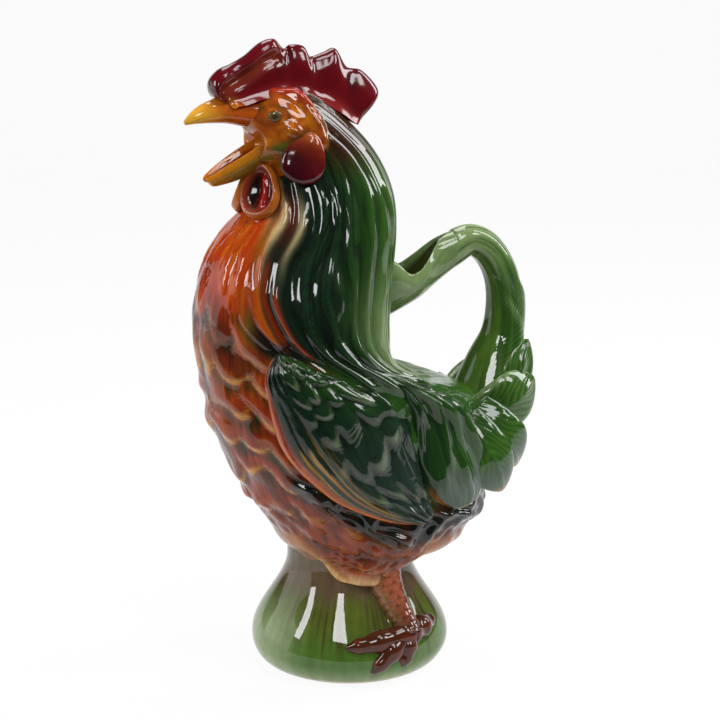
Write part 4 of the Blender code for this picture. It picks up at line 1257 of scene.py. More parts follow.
@dataclass
class SaddleFeathers(LaidFeather):
    """The broad flame-grooved feather behind each wing."""

    front: Table = (
        (6.95, 1.82), (6.35, 1.78), (5.55, 1.77), (4.70, 1.77), (4.10, 1.80), (3.70, 1.91), (3.48, 2.10))
    rear: Table = (
        (6.95, 1.82), (6.90, 2.05), (6.45, 2.25), (5.65, 2.36), (4.80, 2.46), (4.05, 2.45), (3.48, 2.10))
    thickness: float = 8.0
    rows: int = 150
    columns: int = 110
    barbs: float = 34.0
    swell_height: float = 2.8
    flame_height: float = 0.75

    def build(self) -> None:
        """Makes the left feather and its mirror image."""
        run, cross = self.lattice()
        rim = arc(cross, 4)
        taper = ease(-0.08, 0.62, run) * np.sqrt(ease(1.0, 0.9, run)) * ease(0.0, 0.06, run)
        spread = np.abs(cross) * (1.25 - 0.45 * run) - 0.25 * run
        barb = np.sin(spread * self.barbs + 2.2 * drift(run * 4, cross * 3, 31.0))
        swell = self.swell_height * drift(run * 4.4 - 1.2 * np.abs(cross), cross * 2.6, 32.0)
        swell = swell + 0.6 * drift(run * 11.0, cross * 5.0, 33.0)
        flame = np.cos(TURN * (2.0 * cross + 0.9 * run + 0.35 * drift(run * 5.0, cross * 2.0, 34.0)))
        swell = swell * ease(0.80, 0.55, run) + self.flame_height * flame * ease(0.70, 0.40, run)
        ridge = 0.06 * barb + 0.5 * hump(0.0, 0.12, cross) + swell + 1.0 * hump(-0.86, 0.09, cross)
        height = (self.thickness * taper + ridge) * rim - self.sink * (1 - rim * taper)
        colour = wash(
            tint(Pigment.LEAF, run),
            (Pigment.BOTTLE, 0.20 * ease(0.2, 0.9, barb) + 0.5 * ease(0.1, -0.8, cross)),
            # Painted shade in the grooves between the flames.
            (Pigment.BOTTLE, 0.6 * ease(0.0, -0.9, flame) * ease(0.70, 0.40, run)),
            # A grey-blue painted reflection of the floor on the lower part.
            (Pigment.STEEL, 0.60 * ease(0.63, 0.73, run + 0.03 * barb)),
            (Pigment.AMBER, 0.8 * ease(0.88, 0.97, run)
             + 0.7 * ease(-0.85, -0.97, cross) * ease(0.6, 0.8, run)))
        coat = Coat(height, colour, 0.3 * ease(0.2, 0.9, -barb), vec(spread * 14.0, run * 0.8, 0.0))
        make_pair("saddle_plume", "saddle_feather", self.patch(coat), TAIL_GLAZE)


@dataclass
class TailFeathers:
    """Four overlapping feathers on each side of the tail, by root, tip, bow, width and thickness."""

    plumes: Tuple[Tuple[Triple, Triple, float, float, float], ...] = (
        ((79.0, -10.0, 124.0), (103.0, -11.0, 170.5), 4.0, 21.0, 9.0),
        ((66.0, -14.0, 128.0), (105.0, -15.0, 150.0), 6.0, 31.0, 10.0),
        ((60.0, -27.0, 140.0), (87.0, -30.0, 106.0), 7.0, 31.0, 11.0),
        ((52.0, -32.0, 138.0), (75.0, -36.0, 94.5), 6.0, 28.0, 11.0),
    )
    upper_plumes: int = 2
    widest: float = 0.55
    barbs: float = 52.0
    rows: int = 90
    columns: int = 96

    def _plume(self, root: Triple, tip: Triple, bow: float, width: float, thickness: float,
               low: float) -> Patch:
        """One feather: lens sections across a bowed line, widest past its middle, with slanting barbs.

        Args:
            root: where it starts.
            tip: where it ends.
            bow: how far its middle stands out.
            width: its breadth.
            thickness: its depth.
            low: 1 for a feather that hangs low and is paler at its tip with a grey painted floor reflection,
                0 for an upper one.

        Returns:
            A closed patch.
        """
        start, end = np.array(root), np.array(tip)
        line = end - start
        flat = unit(np.cross(line, [0.0, -1.0, 0.0]))
        lift = unit(np.cross(flat, line))
        lift = -lift if lift[1] > 0 else lift
        run, turn = grid(self.rows, self.columns)
        past = run > self.widest
        share = np.clip(1 - ((run - self.widest) / np.where(past, 0.455, 0.75)) ** 2, 0.0, 1.0)
        share = share ** np.where(past, 0.78, 0.5)
        cross, over = np.cos(turn), np.sin(turn)
        slant = np.abs(cross) * 0.55 - run * 0.9
        barb = np.sin(slant * self.barbs + 2.4 * drift(run * 5, cross * 3, 41.0 + bow))
        quill = 0.7 * hump(0.0, 0.12, cross) * ease(1, 0.8, run)
        relief = np.clip(over, 0.0, 1.0) * (0.07 * barb + quill + 0.9 * drift(run * 3, cross * 2, 43.0 + bow))
        centre = start + line * run[..., None] + lift * (bow * np.sin(math.pi * run))[..., None]
        rise = thickness / 2 * share * over + relief
        points = centre + flat * (width / 2 * share * cross)[..., None] + lift * rise[..., None]
        colour = wash(
            tint(Pigment.LEAF, run),
            (Pigment.GRASS, 0.45 + 0.18 * barb),
            (Pigment.BOTTLE, 0.10 * ease(0.3, 1.0, -barb) + 0.4 * ease(0.45, 0.2, run)),
            (Pigment.SAGE, (1 - low) * 0.15 * ease(0.2, 0.9, barb) * ease(0.3, 0.7, run)),
            # On the lower feathers, a grey-blue painted reflection of the floor.
            (Pigment.STEEL, low * 0.60 * ease(0.50, 0.72, run + 0.05 * barb)),
            (Pigment.AMBER, low * 0.5 * ease(0.90, 0.985, run)),
            (Pigment.SAGE, (1 - low) * 0.55 * ease(0.75, 0.98, np.abs(cross))))
        return Patch(points, colour, vec(slant * 9.0, cross * 1.2, 0.0), 0.25 * ease(0.3, 1.0, -barb),
                     start_pole=True, end_pole=True)

    def build(self) -> None:
        """Makes the eight feathers."""
        for number, sizes in enumerate(self.plumes, start=1):
            patch = self._plume(*sizes, low=float(number > self.upper_plumes))
            make_pair(f"tail_plume_{number}", f"tail_feather_{number}", patch, TAIL_GLAZE)


def limb(beads: Table, rows: int, columns: int) -> Arrays:
    """Oval sections square to a line in the middle plane, from beads of x, z, half depth and half breadth.

    Args:
        beads: the stations.
        rows: sections.
        columns: points round a section.

    Returns:
        Share along, turn, centres, the in-plane across direction and the half sizes.
    """
    run, turn = grid(rows, columns)
    row = along(beads, run * (len(beads) - 1))
    centre = vec(row[..., 0], 0.0, row[..., 1])
    tangent = unit(np.gradient(centre, axis=0))
    return run, turn, centre, vec(-tangent[..., 2], 0.0, tangent[..., 0]), row[..., 2:4]


@dataclass
class TailHandle:
    """The arched tail that is the handle: a limb with long flutes and two feather ends folded over it."""

    beads: Table = (
        (60.4, 221.5, 10.3, 8.5), (70.5, 226.2, 8.6, 8.2), (79.8, 222.8, 8.8, 8.4), (87.2, 214.5, 9.0, 8.8),
        (92.2, 203.0, 9.4, 9.2), (94.5, 188.0, 10.6, 10.2), (93.2, 172.0, 11.8, 12.5),
        (88.0, 156.0, 15.0, 16.5),
        (81.5, 138.0, 16.5, 21.0), (74.0, 118.0, 15.0, 23.5), (64.0, 100.0, 10.0, 20.0))
    rows: int = 300
    columns: int = 120
    flutes: float = 7.0
    flute_height: float = 0.20
    leaf_rows: float = 6.2
    leaf_height: float = 2.4
    barbs: float = 330.0

    def build(self) -> None:
        """Makes the handle."""
        run, turn, centre, across, half = limb(self.beads, self.rows, self.columns)
        start = ease(0.09, 0.0, run)[..., None]
        across = unit(across * (1 - start) + np.array([0.0, 0.0, 1.0]) * start)
        over = np.cos(turn)
        flute = np.cos(turn * self.flutes + 1.5 * drift(run * 4.0, over * 1.5, 51.0))
        aside = np.abs(((turn / TURN + 0.25) % 1.0) - 0.5) * 2.0
        down = 6.0 - run * self.leaf_rows + 0.7 * over + 0.2 * drift(run * 6, aside, 52.0)
        leaf = soft_shingles(down, aside * 1.6, roundness=0.8, blur=0.16)
        lower = ease(0.26, 0.44, run) * ease(-0.75, -0.15, over)
        barb = np.sin(run * self.barbs + 26.0 * over + 3.0 * drift(run * 12.0, turn * 1.5, 53.0))
        relief = self.flute_height * flute + (self.leaf_height * (leaf.height - 0.3) + 0.03 * barb) * lower
        relief = relief * ease(0.04, 0.14, run)
        size = half + relief[..., None]
        points = centre + across * (size[..., :1] * over[..., None])
        points[..., 1] += size[..., 1] * np.sin(turn)
        brush = drift(turn * 9.0, run * 5.0, 54.0)
        colour = wash(
            tint(Pigment.GRASS, run),
            (Pigment.LEAF, 0.5 * ease(0.0, 0.8, -flute) + 0.60 * lower),
            # Pale sage on the upper arch, strongest on its top: partly the glaze's colour, partly a painted
            # highlight.
            (Pigment.SAGE, (0.62 + 0.30 * ease(0.2, 0.95, over)) * ease(0.46, 0.10, run)),
            (Pigment.FERN, 0.45 * ease(0.35, 0.9, -over)),
            (Pigment.BOTTLE, (0.6 * leaf.groove + 0.10 * ease(0.2, 0.9, -barb)) * lower),
            (Pigment.SAGE, (0.50 * leaf.tip + 0.10 * ease(0.2, 0.9, barb)) * lower),
            (Pigment.LEAF, 0.55 * ease(0.0, 0.8, brush)))
        groove = 0.25 * ease(0.2, 1.0, -flute) * (1 - lower) + 0.6 * leaf.groove * lower
        vane = vec(np.sin(turn) * 7.0, run * 4.0, over * 7.0)
        make_piece("arched_tail_handle", [Patch(points, colour, vane, groove).closed()], TAIL_GLAZE,
                   ["tail_handle"])


def off_rim(part: Array) -> Array:
    """How far a trough's section parameter lies from the nearer rim, which it meets at 0, a half and 1."""
    return np.minimum(np.abs(part - 0.5), np.minimum(part, 1 - part))


def channel(stations: Table, upright: bool, rows: int, columns: int) -> Arrays:
    """An open trough: half ovals outside and inside, joined by a rounded rim, carried along a line.

    A station is x, rim z, depth, half breadth, bore depth and bore half breadth. The section's parameter
    runs once round: under the outside from the left rim to the right, over the rim and back inside.

    Args:
        stations: the stations.
        upright: if set, sections stand upright; if not, square to the line.
        rows: sections.
        columns: points round a section.

    Returns:
        Share along, section parameter, points and 1 on the inside.
    """
    run, turn = grid(rows, columns)
    row = along(stations, run * (len(stations) - 1))
    x, rim_z, depth, half, bore_depth, bore_half = np.moveaxis(row, -1, 0)
    centre = vec(x, 0.0, rim_z)
    up = np.broadcast_to(np.array([0.0, 0.0, 1.0]), centre.shape)
    if not upright:
        tangent = unit(np.gradient(centre, axis=0))
        up = vec(tangent[..., 2], 0.0, -tangent[..., 0])
    part = turn / TURN
    inside = part >= 0.5
    angle = TURN * np.where(inside, 1.0 - part, part)
    swell = ease(0.0, 0.05, off_rim(part))
    middle_depth, middle_half = (depth + bore_depth) / 2, (half + bore_half) / 2
    deep = middle_depth + (np.where(inside, bore_depth, depth) - middle_depth) * swell
    wide = middle_half + (np.where(inside, bore_half, half) - middle_half) * swell
    rim = (1 - swell) * (half - bore_half) * 0.45
    points = centre + up * (rim - deep * np.sin(angle))[..., None]
    points[..., 1] -= wide * np.cos(angle)
    return run, part, points, inside.astype(float)


@dataclass
class FillingLip:
    """The trough behind the neck through which the jug is filled; it runs into the handle."""

    stations: Table = (
        (8.0, 226.0, 40.0, 19.0, 36.4, 15.4), (20.0, 220.0, 31.0, 17.8, 27.4, 14.2),
        (31.0, 212.0, 18.4, 15.0, 14.8, 11.4), (42.0, 216.2, 17.6, 12.6, 11.6, 8.0),
        (52.0, 224.2, 18.8, 10.4, 7.4, 4.8), (60.0, 231.8, 20.5, 8.5, 3.0, 2.2))
    handle: Table = TailHandle.beads[:2]
    rows: int = 120
    columns: int = 120

    def build(self) -> None:
        """Makes the trough, whose sections turn into the handle's first oval."""
        run, part, points, inside = channel(self.stations, True, self.rows, self.columns)
        turn = np.where(inside > 0, 0.0, TURN * 2 * part) - math.pi / 2
        start, after = (np.array(bead) for bead in self.handle)
        rate = (after - start) / (after[0] - start[0])
        gap = points[..., 0] - self.stations[-1][0]
        x, z, deep, wide = np.moveaxis(start + rate * gap[..., None], -1, 0)
        oval = vec(x, -wide * np.cos(turn), z - deep * np.sin(turn))
        closing = ease(0.50, 1.0, run)[..., None]
        points = points * (1 - closing) + oval * closing
        rim = ease(0.06, 0.0, off_rim(part))
        streak = drift(run * 2.0, part * 40.0, 61.0)
        colour = wash(
            tint(Pigment.GRASS, run),
            (Pigment.LEAF, 0.5 + 0.4 * streak),
            # Pale sage outside near the neck: partly the glaze's colour, partly a painted highlight.
            (Pigment.SAGE, 0.5 * ease(0.0, 0.35, run) * (1 - inside)),
            (Pigment.MOSS, inside * (1 - rim)),
            (Pigment.SAGE, 0.45 * rim))
        patch = Patch(points, colour, vec(part * 40.0, run * 5.0, 0.0)).closed()
        make_piece("filling_trough", [patch], TAIL_GLAZE, ["filling_lip"])


@dataclass
class Beak:
    """The open beak: a hooked upper half and a troughed lower half, the jug's spout."""

    upper: Table = (
        (-46.0, 300.6, 10.0, 12.0), (-55.0, 302.8, 9.2, 10.0), (-66.0, 304.6, 8.0, 8.4),
        (-75.0, 304.2, 6.5, 6.6),
        (-83.0, 302.6, 4.5, 4.3), (-90.5, 299.6, 1.2, 1.2))
    lower: Table = (
        (-50.0, 287.2, 13.0, 8.6, 9.2, 6.2), (-61.0, 281.4, 11.6, 8.2, 7.0, 5.6),
        (-70.0, 276.4, 9.6, 6.8, 4.2, 4.2), (-76.6, 272.4, 6.8, 5.0, 2.4, 2.4),
        (-79.6, 270.6, 4.4, 3.2, 1.2, 1.2), (-80.6, 269.6, 0.8, 0.6, 0.3, 0.3))
    upper_grid: Tuple[int, int] = (110, 72)
    lower_grid: Tuple[int, int] = (90, 96)
    flatness: float = 0.85

    def _upper(self) -> Patch:
        """The upper half: ovals with a flatter underside, redder towards the face.

        Returns:
            An open patch.
        """
        run, turn, centre, across, half = limb(self.upper, *self.upper_grid)
        top = np.cos(turn)
        rise = half[..., :1] * np.where(top > 0, top, self.flatness * top)[..., None]
        points = centre + across * np.where(across[..., 2:3] > 0, 1.0, -1.0) * rise
        points[..., 1] += half[..., 1] * np.sin(turn)
        edge = hump(0.0, 0.30, top + 0.25)
        colour = wash(
            tint(Pigment.HONEY, run),
            (Pigment.AMBER, 0.6 * ease(0.95, 0.4, run) + 0.3 * ease(0.0, -0.8, top)),
            (Pigment.FLAME, 0.80 * ease(0.85, 0.40, run)),
            (Pigment.RUST, 0.8 * ease(0.62, 0.20, run) * ease(-0.1, 0.8, top)),
            (Pigment.HONEY, 0.6 * edge * ease(0.35, 0.85, run)))
        return Patch(points, colour, vec(turn * 2.0, run * 5.0, 0.0))

    def _lower(self) -> Patch:
        """The lower half: an open trough with a pale rim.

        Returns:
            An open patch.
        """
        run, part, points, inside = channel(self.lower, False, *self.lower_grid)
        colour = wash(
            tint(Pigment.AMBER, run),
            (Pigment.OLIVE, 0.75 * ease(0.95, 0.3, run)),
            (Pigment.RUST, inside),
            (Pigment.AMBER, 0.85 * ease(0.07, 0.0, off_rim(part))),
            (Pigment.RUST, 0.6 * ease(0.80, 0.95, run)))
        return Patch(points, colour, vec(part * 20.0, run * 4.0, 0.0))

    def build(self) -> None:
        """Makes both halves."""
        make_piece("hooked_upper_beak", [self._upper().closed()], FACE_GLAZE, ["upper_beak"])
        make_piece("spouted_lower_beak", [self._lower().closed()], FACE_GLAZE, ["lower_beak"])


@dataclass
class Comb:
    """The comb: five lobes fanned from the crown, the first two dished and folded to the left."""

    crest: Table = (
        (-69.0, 310.0), (-76.2, 313.0), (-78.0, 320.0), (-73.5, 325.6), (-66.5, 328.5), (-58.5, 332.5),
        (-50.0, 338.5), (-42.5, 339.8), (-36.2, 334.5), (-32.5, 336.2), (-25.5, 335.2), (-21.5, 329.8),
        (-14.0, 331.5), (-7.5, 333.0), (-1.2, 323.6), (7.5, 321.0), (16.0, 312.0), (15.0, 306.0),
        (7.0, 299.5))
    foot: Table = (
        (-68.0, 307.0), (-67.0, 307.0), (-65.0, 308.0), (-62.0, 308.0), (-58.0, 309.0), (-54.0, 310.0),
        (-49.0, 311.0), (-44.0, 312.0), (-38.0, 312.0), (-33.0, 311.0), (-27.0, 310.0), (-22.0, 308.0),
        (-17.0, 306.0), (-12.0, 303.0), (-7.0, 300.0), (-3.0, 297.0), (0.0, 295.0), (2.0, 294.0),
        (3.0, 294.0))
    valleys: Table = ((4.2, 0.9), (8.0, 1.2), (11.1, 1.2), (14.4, 1.3))
    rows: int = 260
    columns: int = 110
    lean: float = 3.0
    root_swell: float = 8.5
    least_half: float = 2.2
    lobe_swell: float = 4.4
    furrow_depth: float = 4.6
    rim_swell: float = 1.6

    def build(self) -> None:
        """Makes the comb.

        A section's parameter runs up the left face, over the crest and down the right face; its height
        share h goes from the foot line to the crest line and its half thickness swells into a rolled rim.
        """
        run, turn = grid(self.rows, self.columns)
        place = run * (len(self.crest) - 1)
        crest, foot = along(self.crest, place), along(self.foot, place)
        share = np.sin((1 + np.cos(turn)) / 2 * math.pi / 2) ** 0.9
        front = ease(7.8, 6.6, place)
        valley = sum(hump(centre, width, place) for centre, width in self.valleys)
        lobes = 1 - 0.45 * np.clip(valley, 0.0, 1.0) * ease(0.10, 0.95, share)
        furrow = front * ease(0.3, 1.4, place) * hump(0.44 + 0.035 * place, 0.13, share)
        swell = self.root_swell * (1 - share) ** 2.0 + self.least_half
        swell = swell + self.lobe_swell * lobes * ease(0.1, 0.75, share)
        half = swell - self.furrow_depth * furrow + self.rim_swell * front * hump(0.84, 0.12, share)
        half = (half + 0.2 * drift(place * 0.5, share * 1.5, 72.0)) * arc(share, 6)
        rounding = np.clip(np.maximum((0.06 - run) / 0.06, (run - 0.83) / 0.17), 0.0, 1.0)
        side = np.sign(np.sin(turn)) * half * np.sqrt(1 - rounding ** 2)
        plane = blend(foot, crest, share)
        points = vec(plane[..., 0], -(side + self.lean * front * share ** 2), plane[..., 1])
        patchy = drift(plane[..., 0] * 0.12, plane[..., 1] * 0.12, 71.0)
        colour = wash(
            tint(Pigment.OXBLOOD, run),
            (Pigment.GARNET, 0.6 * ease(0.0, 0.8, patchy) + 0.4 * (1 - lobes)),
            (Pigment.SCARLET, 0.30 * ease(0.30, 0.02, share)),
            (Pigment.BRICK, 0.60 * np.clip(1.4 * furrow, 0.0, 1.0)),
            (Pigment.AMBER, 0.75 * ease(0.45, 0.05, share) * ease(3.6, 1.2, place)))
        patch = Patch(points, colour, vec(place * 1.5, share * 2.0, 0.0), 0.3 * (1 - lobes) * share,
                      start_pole=True, end_pole=True)
        make_piece("folded_comb", [patch], COMB_GLAZE, ["comb"])


@dataclass
class Drop:
    """A lens-shaped drop that hangs down and faces out, such as a wattle, an ear lobe or an eye.

    A place is (share from the middle of the face over the rim to the middle of the back, turn).
    A drawn drop gets narrower towards its upper end.
    """

    centre: Triple
    down: Triple
    out: Triple
    half: Triple
    drawn: float = 0.0
    rows: int = 60
    columns: int = 72

    def lattice(self) -> Arrays:
        """Share, turn, and the radius share from 0 in the middle to 1 at the rim and back."""
        run, turn = grid(self.rows, self.columns)
        return run, turn, np.sin(run * math.pi)

    def patch(self, depth: Array, colour: Array) -> Patch:
        """The drop as a closed patch, from its depth share and its paint.

        Args:
            depth: how far a place stands out, as a share of the half thickness.
            colour: paint.

        Returns:
            A closed patch.
        """
        _, turn, radius = self.lattice()
        drop = unit(np.array(self.down))
        face = unit(np.array(self.out) - drop * np.dot(drop, self.out))
        across = np.cross(drop, face)
        tall, wide = np.cos(turn) * radius, np.sin(turn) * radius
        wide = wide * (1 + self.drawn * np.clip(tall, -1, 1))
        length, breadth, thickness = self.half
        points = (np.array(self.centre) + drop * (tall * length)[..., None]
                  + across * (wide * breadth)[..., None] + face * (depth * thickness)[..., None])
        return Patch(points, colour, vec(radius * 3, turn * 0.5, 0.0), start_pole=True, end_pole=True)


@dataclass
class FaceDrops:
    """Wattles with a rolled rim and a dark hollow, smooth ear lobes and ringed eyes."""

    wattle: Drop = field(default_factory=lambda: Drop(
        (-53.2, -9.2, 264.0), (-0.24, -0.30, -0.92), (-0.82, -0.55, 0.10), (15.0, 11.2, 4.6), drawn=0.25))
    lobe: Drop = field(default_factory=lambda: Drop(
        (-35.5, -24.6, 282.0), (-0.42, -0.10, -0.90), (-0.15, -0.93, 0.34), (13.6, 11.0, 4.2), drawn=0.30))
    eye: Drop = field(default_factory=lambda: Drop(
        Plumage.eye, (0.0, 0.0, -1.0), (-0.42, -0.87, 0.25), (3.0, 3.6, 1.4), rows=40, columns=48))

    def _wattle(self) -> Patch:
        """A drop with a rolled rim round a hollow, and a fold down the hollow's middle.

        Returns:
            A closed patch.
        """
        run, turn, radius = self.wattle.lattice()
        front = run < 0.5
        aside = np.sin(turn) * radius
        bowl = 0.30 + 0.80 * hump(0.86, 0.14, radius) - 0.95 * hump(0.0, 0.60, radius)
        bowl = bowl + 0.55 * hump(-0.12, 0.22, aside) * ease(0.7, 0.3, radius)
        depth = np.where(front, bowl * arc(radius, 8), -np.cos((1 - run) * math.pi))
        hollow = front * ease(0.80, 0.5, radius)
        return self.wattle.patch(depth, wash(
            tint(Pigment.BRICK, run),
            (Pigment.GARNET, hollow),
            # Painted shade: one side of the hollow near black.
            (Pigment.INK, hollow * ease(-0.05, 0.40, aside)),
            (Pigment.SCARLET, 0.9 * hollow * hump(-0.12, 0.20, aside)),
            (Pigment.AMBER, 0.55 * hump(0.95, 0.10, radius))))

    def _lobe(self) -> Patch:
        """A smooth drop with faint dents, lighter at its top.

        Returns:
            A closed patch.
        """
        run, turn, radius = self.lobe.lattice()
        tall, aside = radius * np.cos(turn), radius * np.sin(turn)
        dent = 0.22 * drift(tall * 1.6 + 4.0, aside * 1.6 + 4.0, 73.0)
        depth = np.cos(run * math.pi) + dent * (run < 0.5) * ease(1.0, 0.8, radius)
        return self.lobe.patch(depth, wash(
            tint(Pigment.GARNET, run),
            (Pigment.OXBLOOD, 0.5 * ease(0.2, -0.6, aside)),
            (Pigment.RUST, 0.85 * ease(0.25, -0.60, tall)),
            (Pigment.TAWNY, 0.85 * ease(-0.40, -0.95, tall))))

    def _eye(self) -> Patch:
        """A small lens with a dark middle and a pale ring.

        Returns:
            A closed patch.
        """
        run, _, radius = self.eye.lattice()
        return self.eye.patch(np.cos(run * math.pi), wash(
            tint(Pigment.UMBER, run),
            (Pigment.OLIVE, 0.85 * ease(0.35, 0.55, radius)),
            (Pigment.TAUPE, 0.60 * hump(0.60, 0.20, radius)),
            (Pigment.RUST, 0.9 * ease(0.76, 0.92, radius))))

    def build(self) -> None:
        """Makes the three pairs."""
        make_pair("hollow_wattle", "wattle", self._wattle(), COMB_GLAZE)
        make_pair("smooth_ear_lobe", "ear_lobe", self._lobe(), COMB_GLAZE)
        make_pair("ringed_eye", "eye", self._eye(), EYE_GLAZE)


@dataclass
class Pedestal:
    """The flared foot: a turned form with runs of brown glaze under its neck and a bare ring below."""

    height: float = 72.0
    shoulder: float = 61.0
    waist: float = 33.5
    flare: float = 53.5
    flare_height: float = 14.0
    foot: float = 39.2
    ring: float = 6.0
    recess: float = 2.5
    rows: int = 190
    columns: int = 300
    wall_share: float = 0.86
    crowding: float = 1.25
    pale_side: float = 2.9

    def radius(self, z: Array) -> Array:
        """The outer radius at a height: a smooth step to the flare, then a quarter oval in to the foot.

        Args:
            z: heights.

        Returns:
            Radii.
        """
        upper = self.waist + (self.flare - self.waist) * ease(self.shoulder, self.flare_height, z)
        share = np.clip(1 - z / self.flare_height, 0.0, 1.0)
        lower = self.foot + (self.flare - self.foot) * np.sqrt(1 - share ** 2)
        return np.where(z < self.flare_height, lower, upper)

    def build(self) -> None:
        """Makes the foot with its painted runs.

        The rows go down the wall, closer together near the foot, and then under it over the bare ring.
        """
        run, turn = grid(self.rows, self.columns)
        z = self.height * (1 - np.clip(run / self.wall_share, 0.0, 1.0)) ** self.crowding
        under = np.clip((run - self.wall_share) / (1 - self.wall_share), 0.0, 1.0)
        inner = self.foot - self.ring
        shares, radii = (0.0, 0.35, 0.5, 1.0), (self.foot, inner, inner - self.recess, 0.0)
        radius = np.where(under > 0, np.interp(under, shares, radii), self.radius(z))
        z = np.where(under > 0, np.interp(under, shares, (0.0, 0.0, self.recess, self.recess)), z)
        uneven = 0.5 * drift(np.cos(turn) * 2.0 + 3.0, np.sin(turn) * 2.0 + z * 0.03, 81.0)
        radius = radius + uneven * ease(1.0, 8.0, z) * (under <= 0)
        streak = drift(turn * 26.0, z * 0.03, 82.0) + 0.6 * drift(turn * 61.0, z * 0.05, 83.0)
        drip = ease(-0.4, 0.5, streak) * ease(20.0, 40.0, z + 11.0 * streak)
        # Painted reflection of the white surroundings, pale on the left side low down.
        pale = ease(0.55, 1.0, np.cos(turn - self.pale_side)) * ease(48.0, 24.0, z)
        colour = wash(
            tint(Pigment.FERN, run),
            (Pigment.GRASS, 0.75 * ease(34.0, 12.0, z + 5.0 * streak)),
            (Pigment.OLIVE, 0.45 * ease(22.0, 40.0, z)),
            (Pigment.UMBER, 0.85 * drip),
            (Pigment.TAUPE, 0.85 * ease(38.0, 50.0, z + 5.0 * streak)),
            # Pale sage low down, and the painted reflection on the left side.
            (Pigment.SAGE, 0.85 * ease(14.0, 4.0, z) + 0.9 * pale),
            (Pigment.CREAM, 0.85 * ease(4.6, 1.6, z)),
            (Pigment.UMBER, 0.9 * ease(0.7, 0.2, z)))
        colour = np.where((under > 0.02)[..., None], Pigment.CLAY.linear, colour)
        points = vec(radius * np.cos(turn), radius * np.sin(turn), z)
        patch = Patch(points, colour, vec(turn * 12.0, z * 0.05, 0.0), end_pole=True)
        make_piece("flared_foot", [patch], GRASS_GLAZE, ["pedestal"])

    def on_side(self, x: Array, z: Array, standoff: Array) -> Array:
        """Points over the foot's left side, by their place seen from the side."""
        radius = self.radius(z) + standoff
        return vec(x, -np.sqrt(np.clip(radius ** 2 - x ** 2, 0.0, None)), z)


def tube(line: Array, radii: Array, turn: Array) -> Array:
    """A round bar about a line: line + r * (cos(turn) * rise + sin(turn) * side).

    The rise points away from the upright axis, square to the line, and the side is square to both.

    Args:
        line: centres, one per row.
        radii: radius at each place.
        turn: the section's parameter.

    Returns:
        The bar's points.
    """
    tangent = unit(np.gradient(line, axis=0))
    side = unit(np.cross(tangent, unit(line * np.array([1.0, 1.0, 0.0]))))
    rise = np.cross(side, tangent)
    return line[:, None] + radii[..., None] * (
        np.cos(turn)[..., None] * rise[:, None] + np.sin(turn)[..., None] * side[:, None])


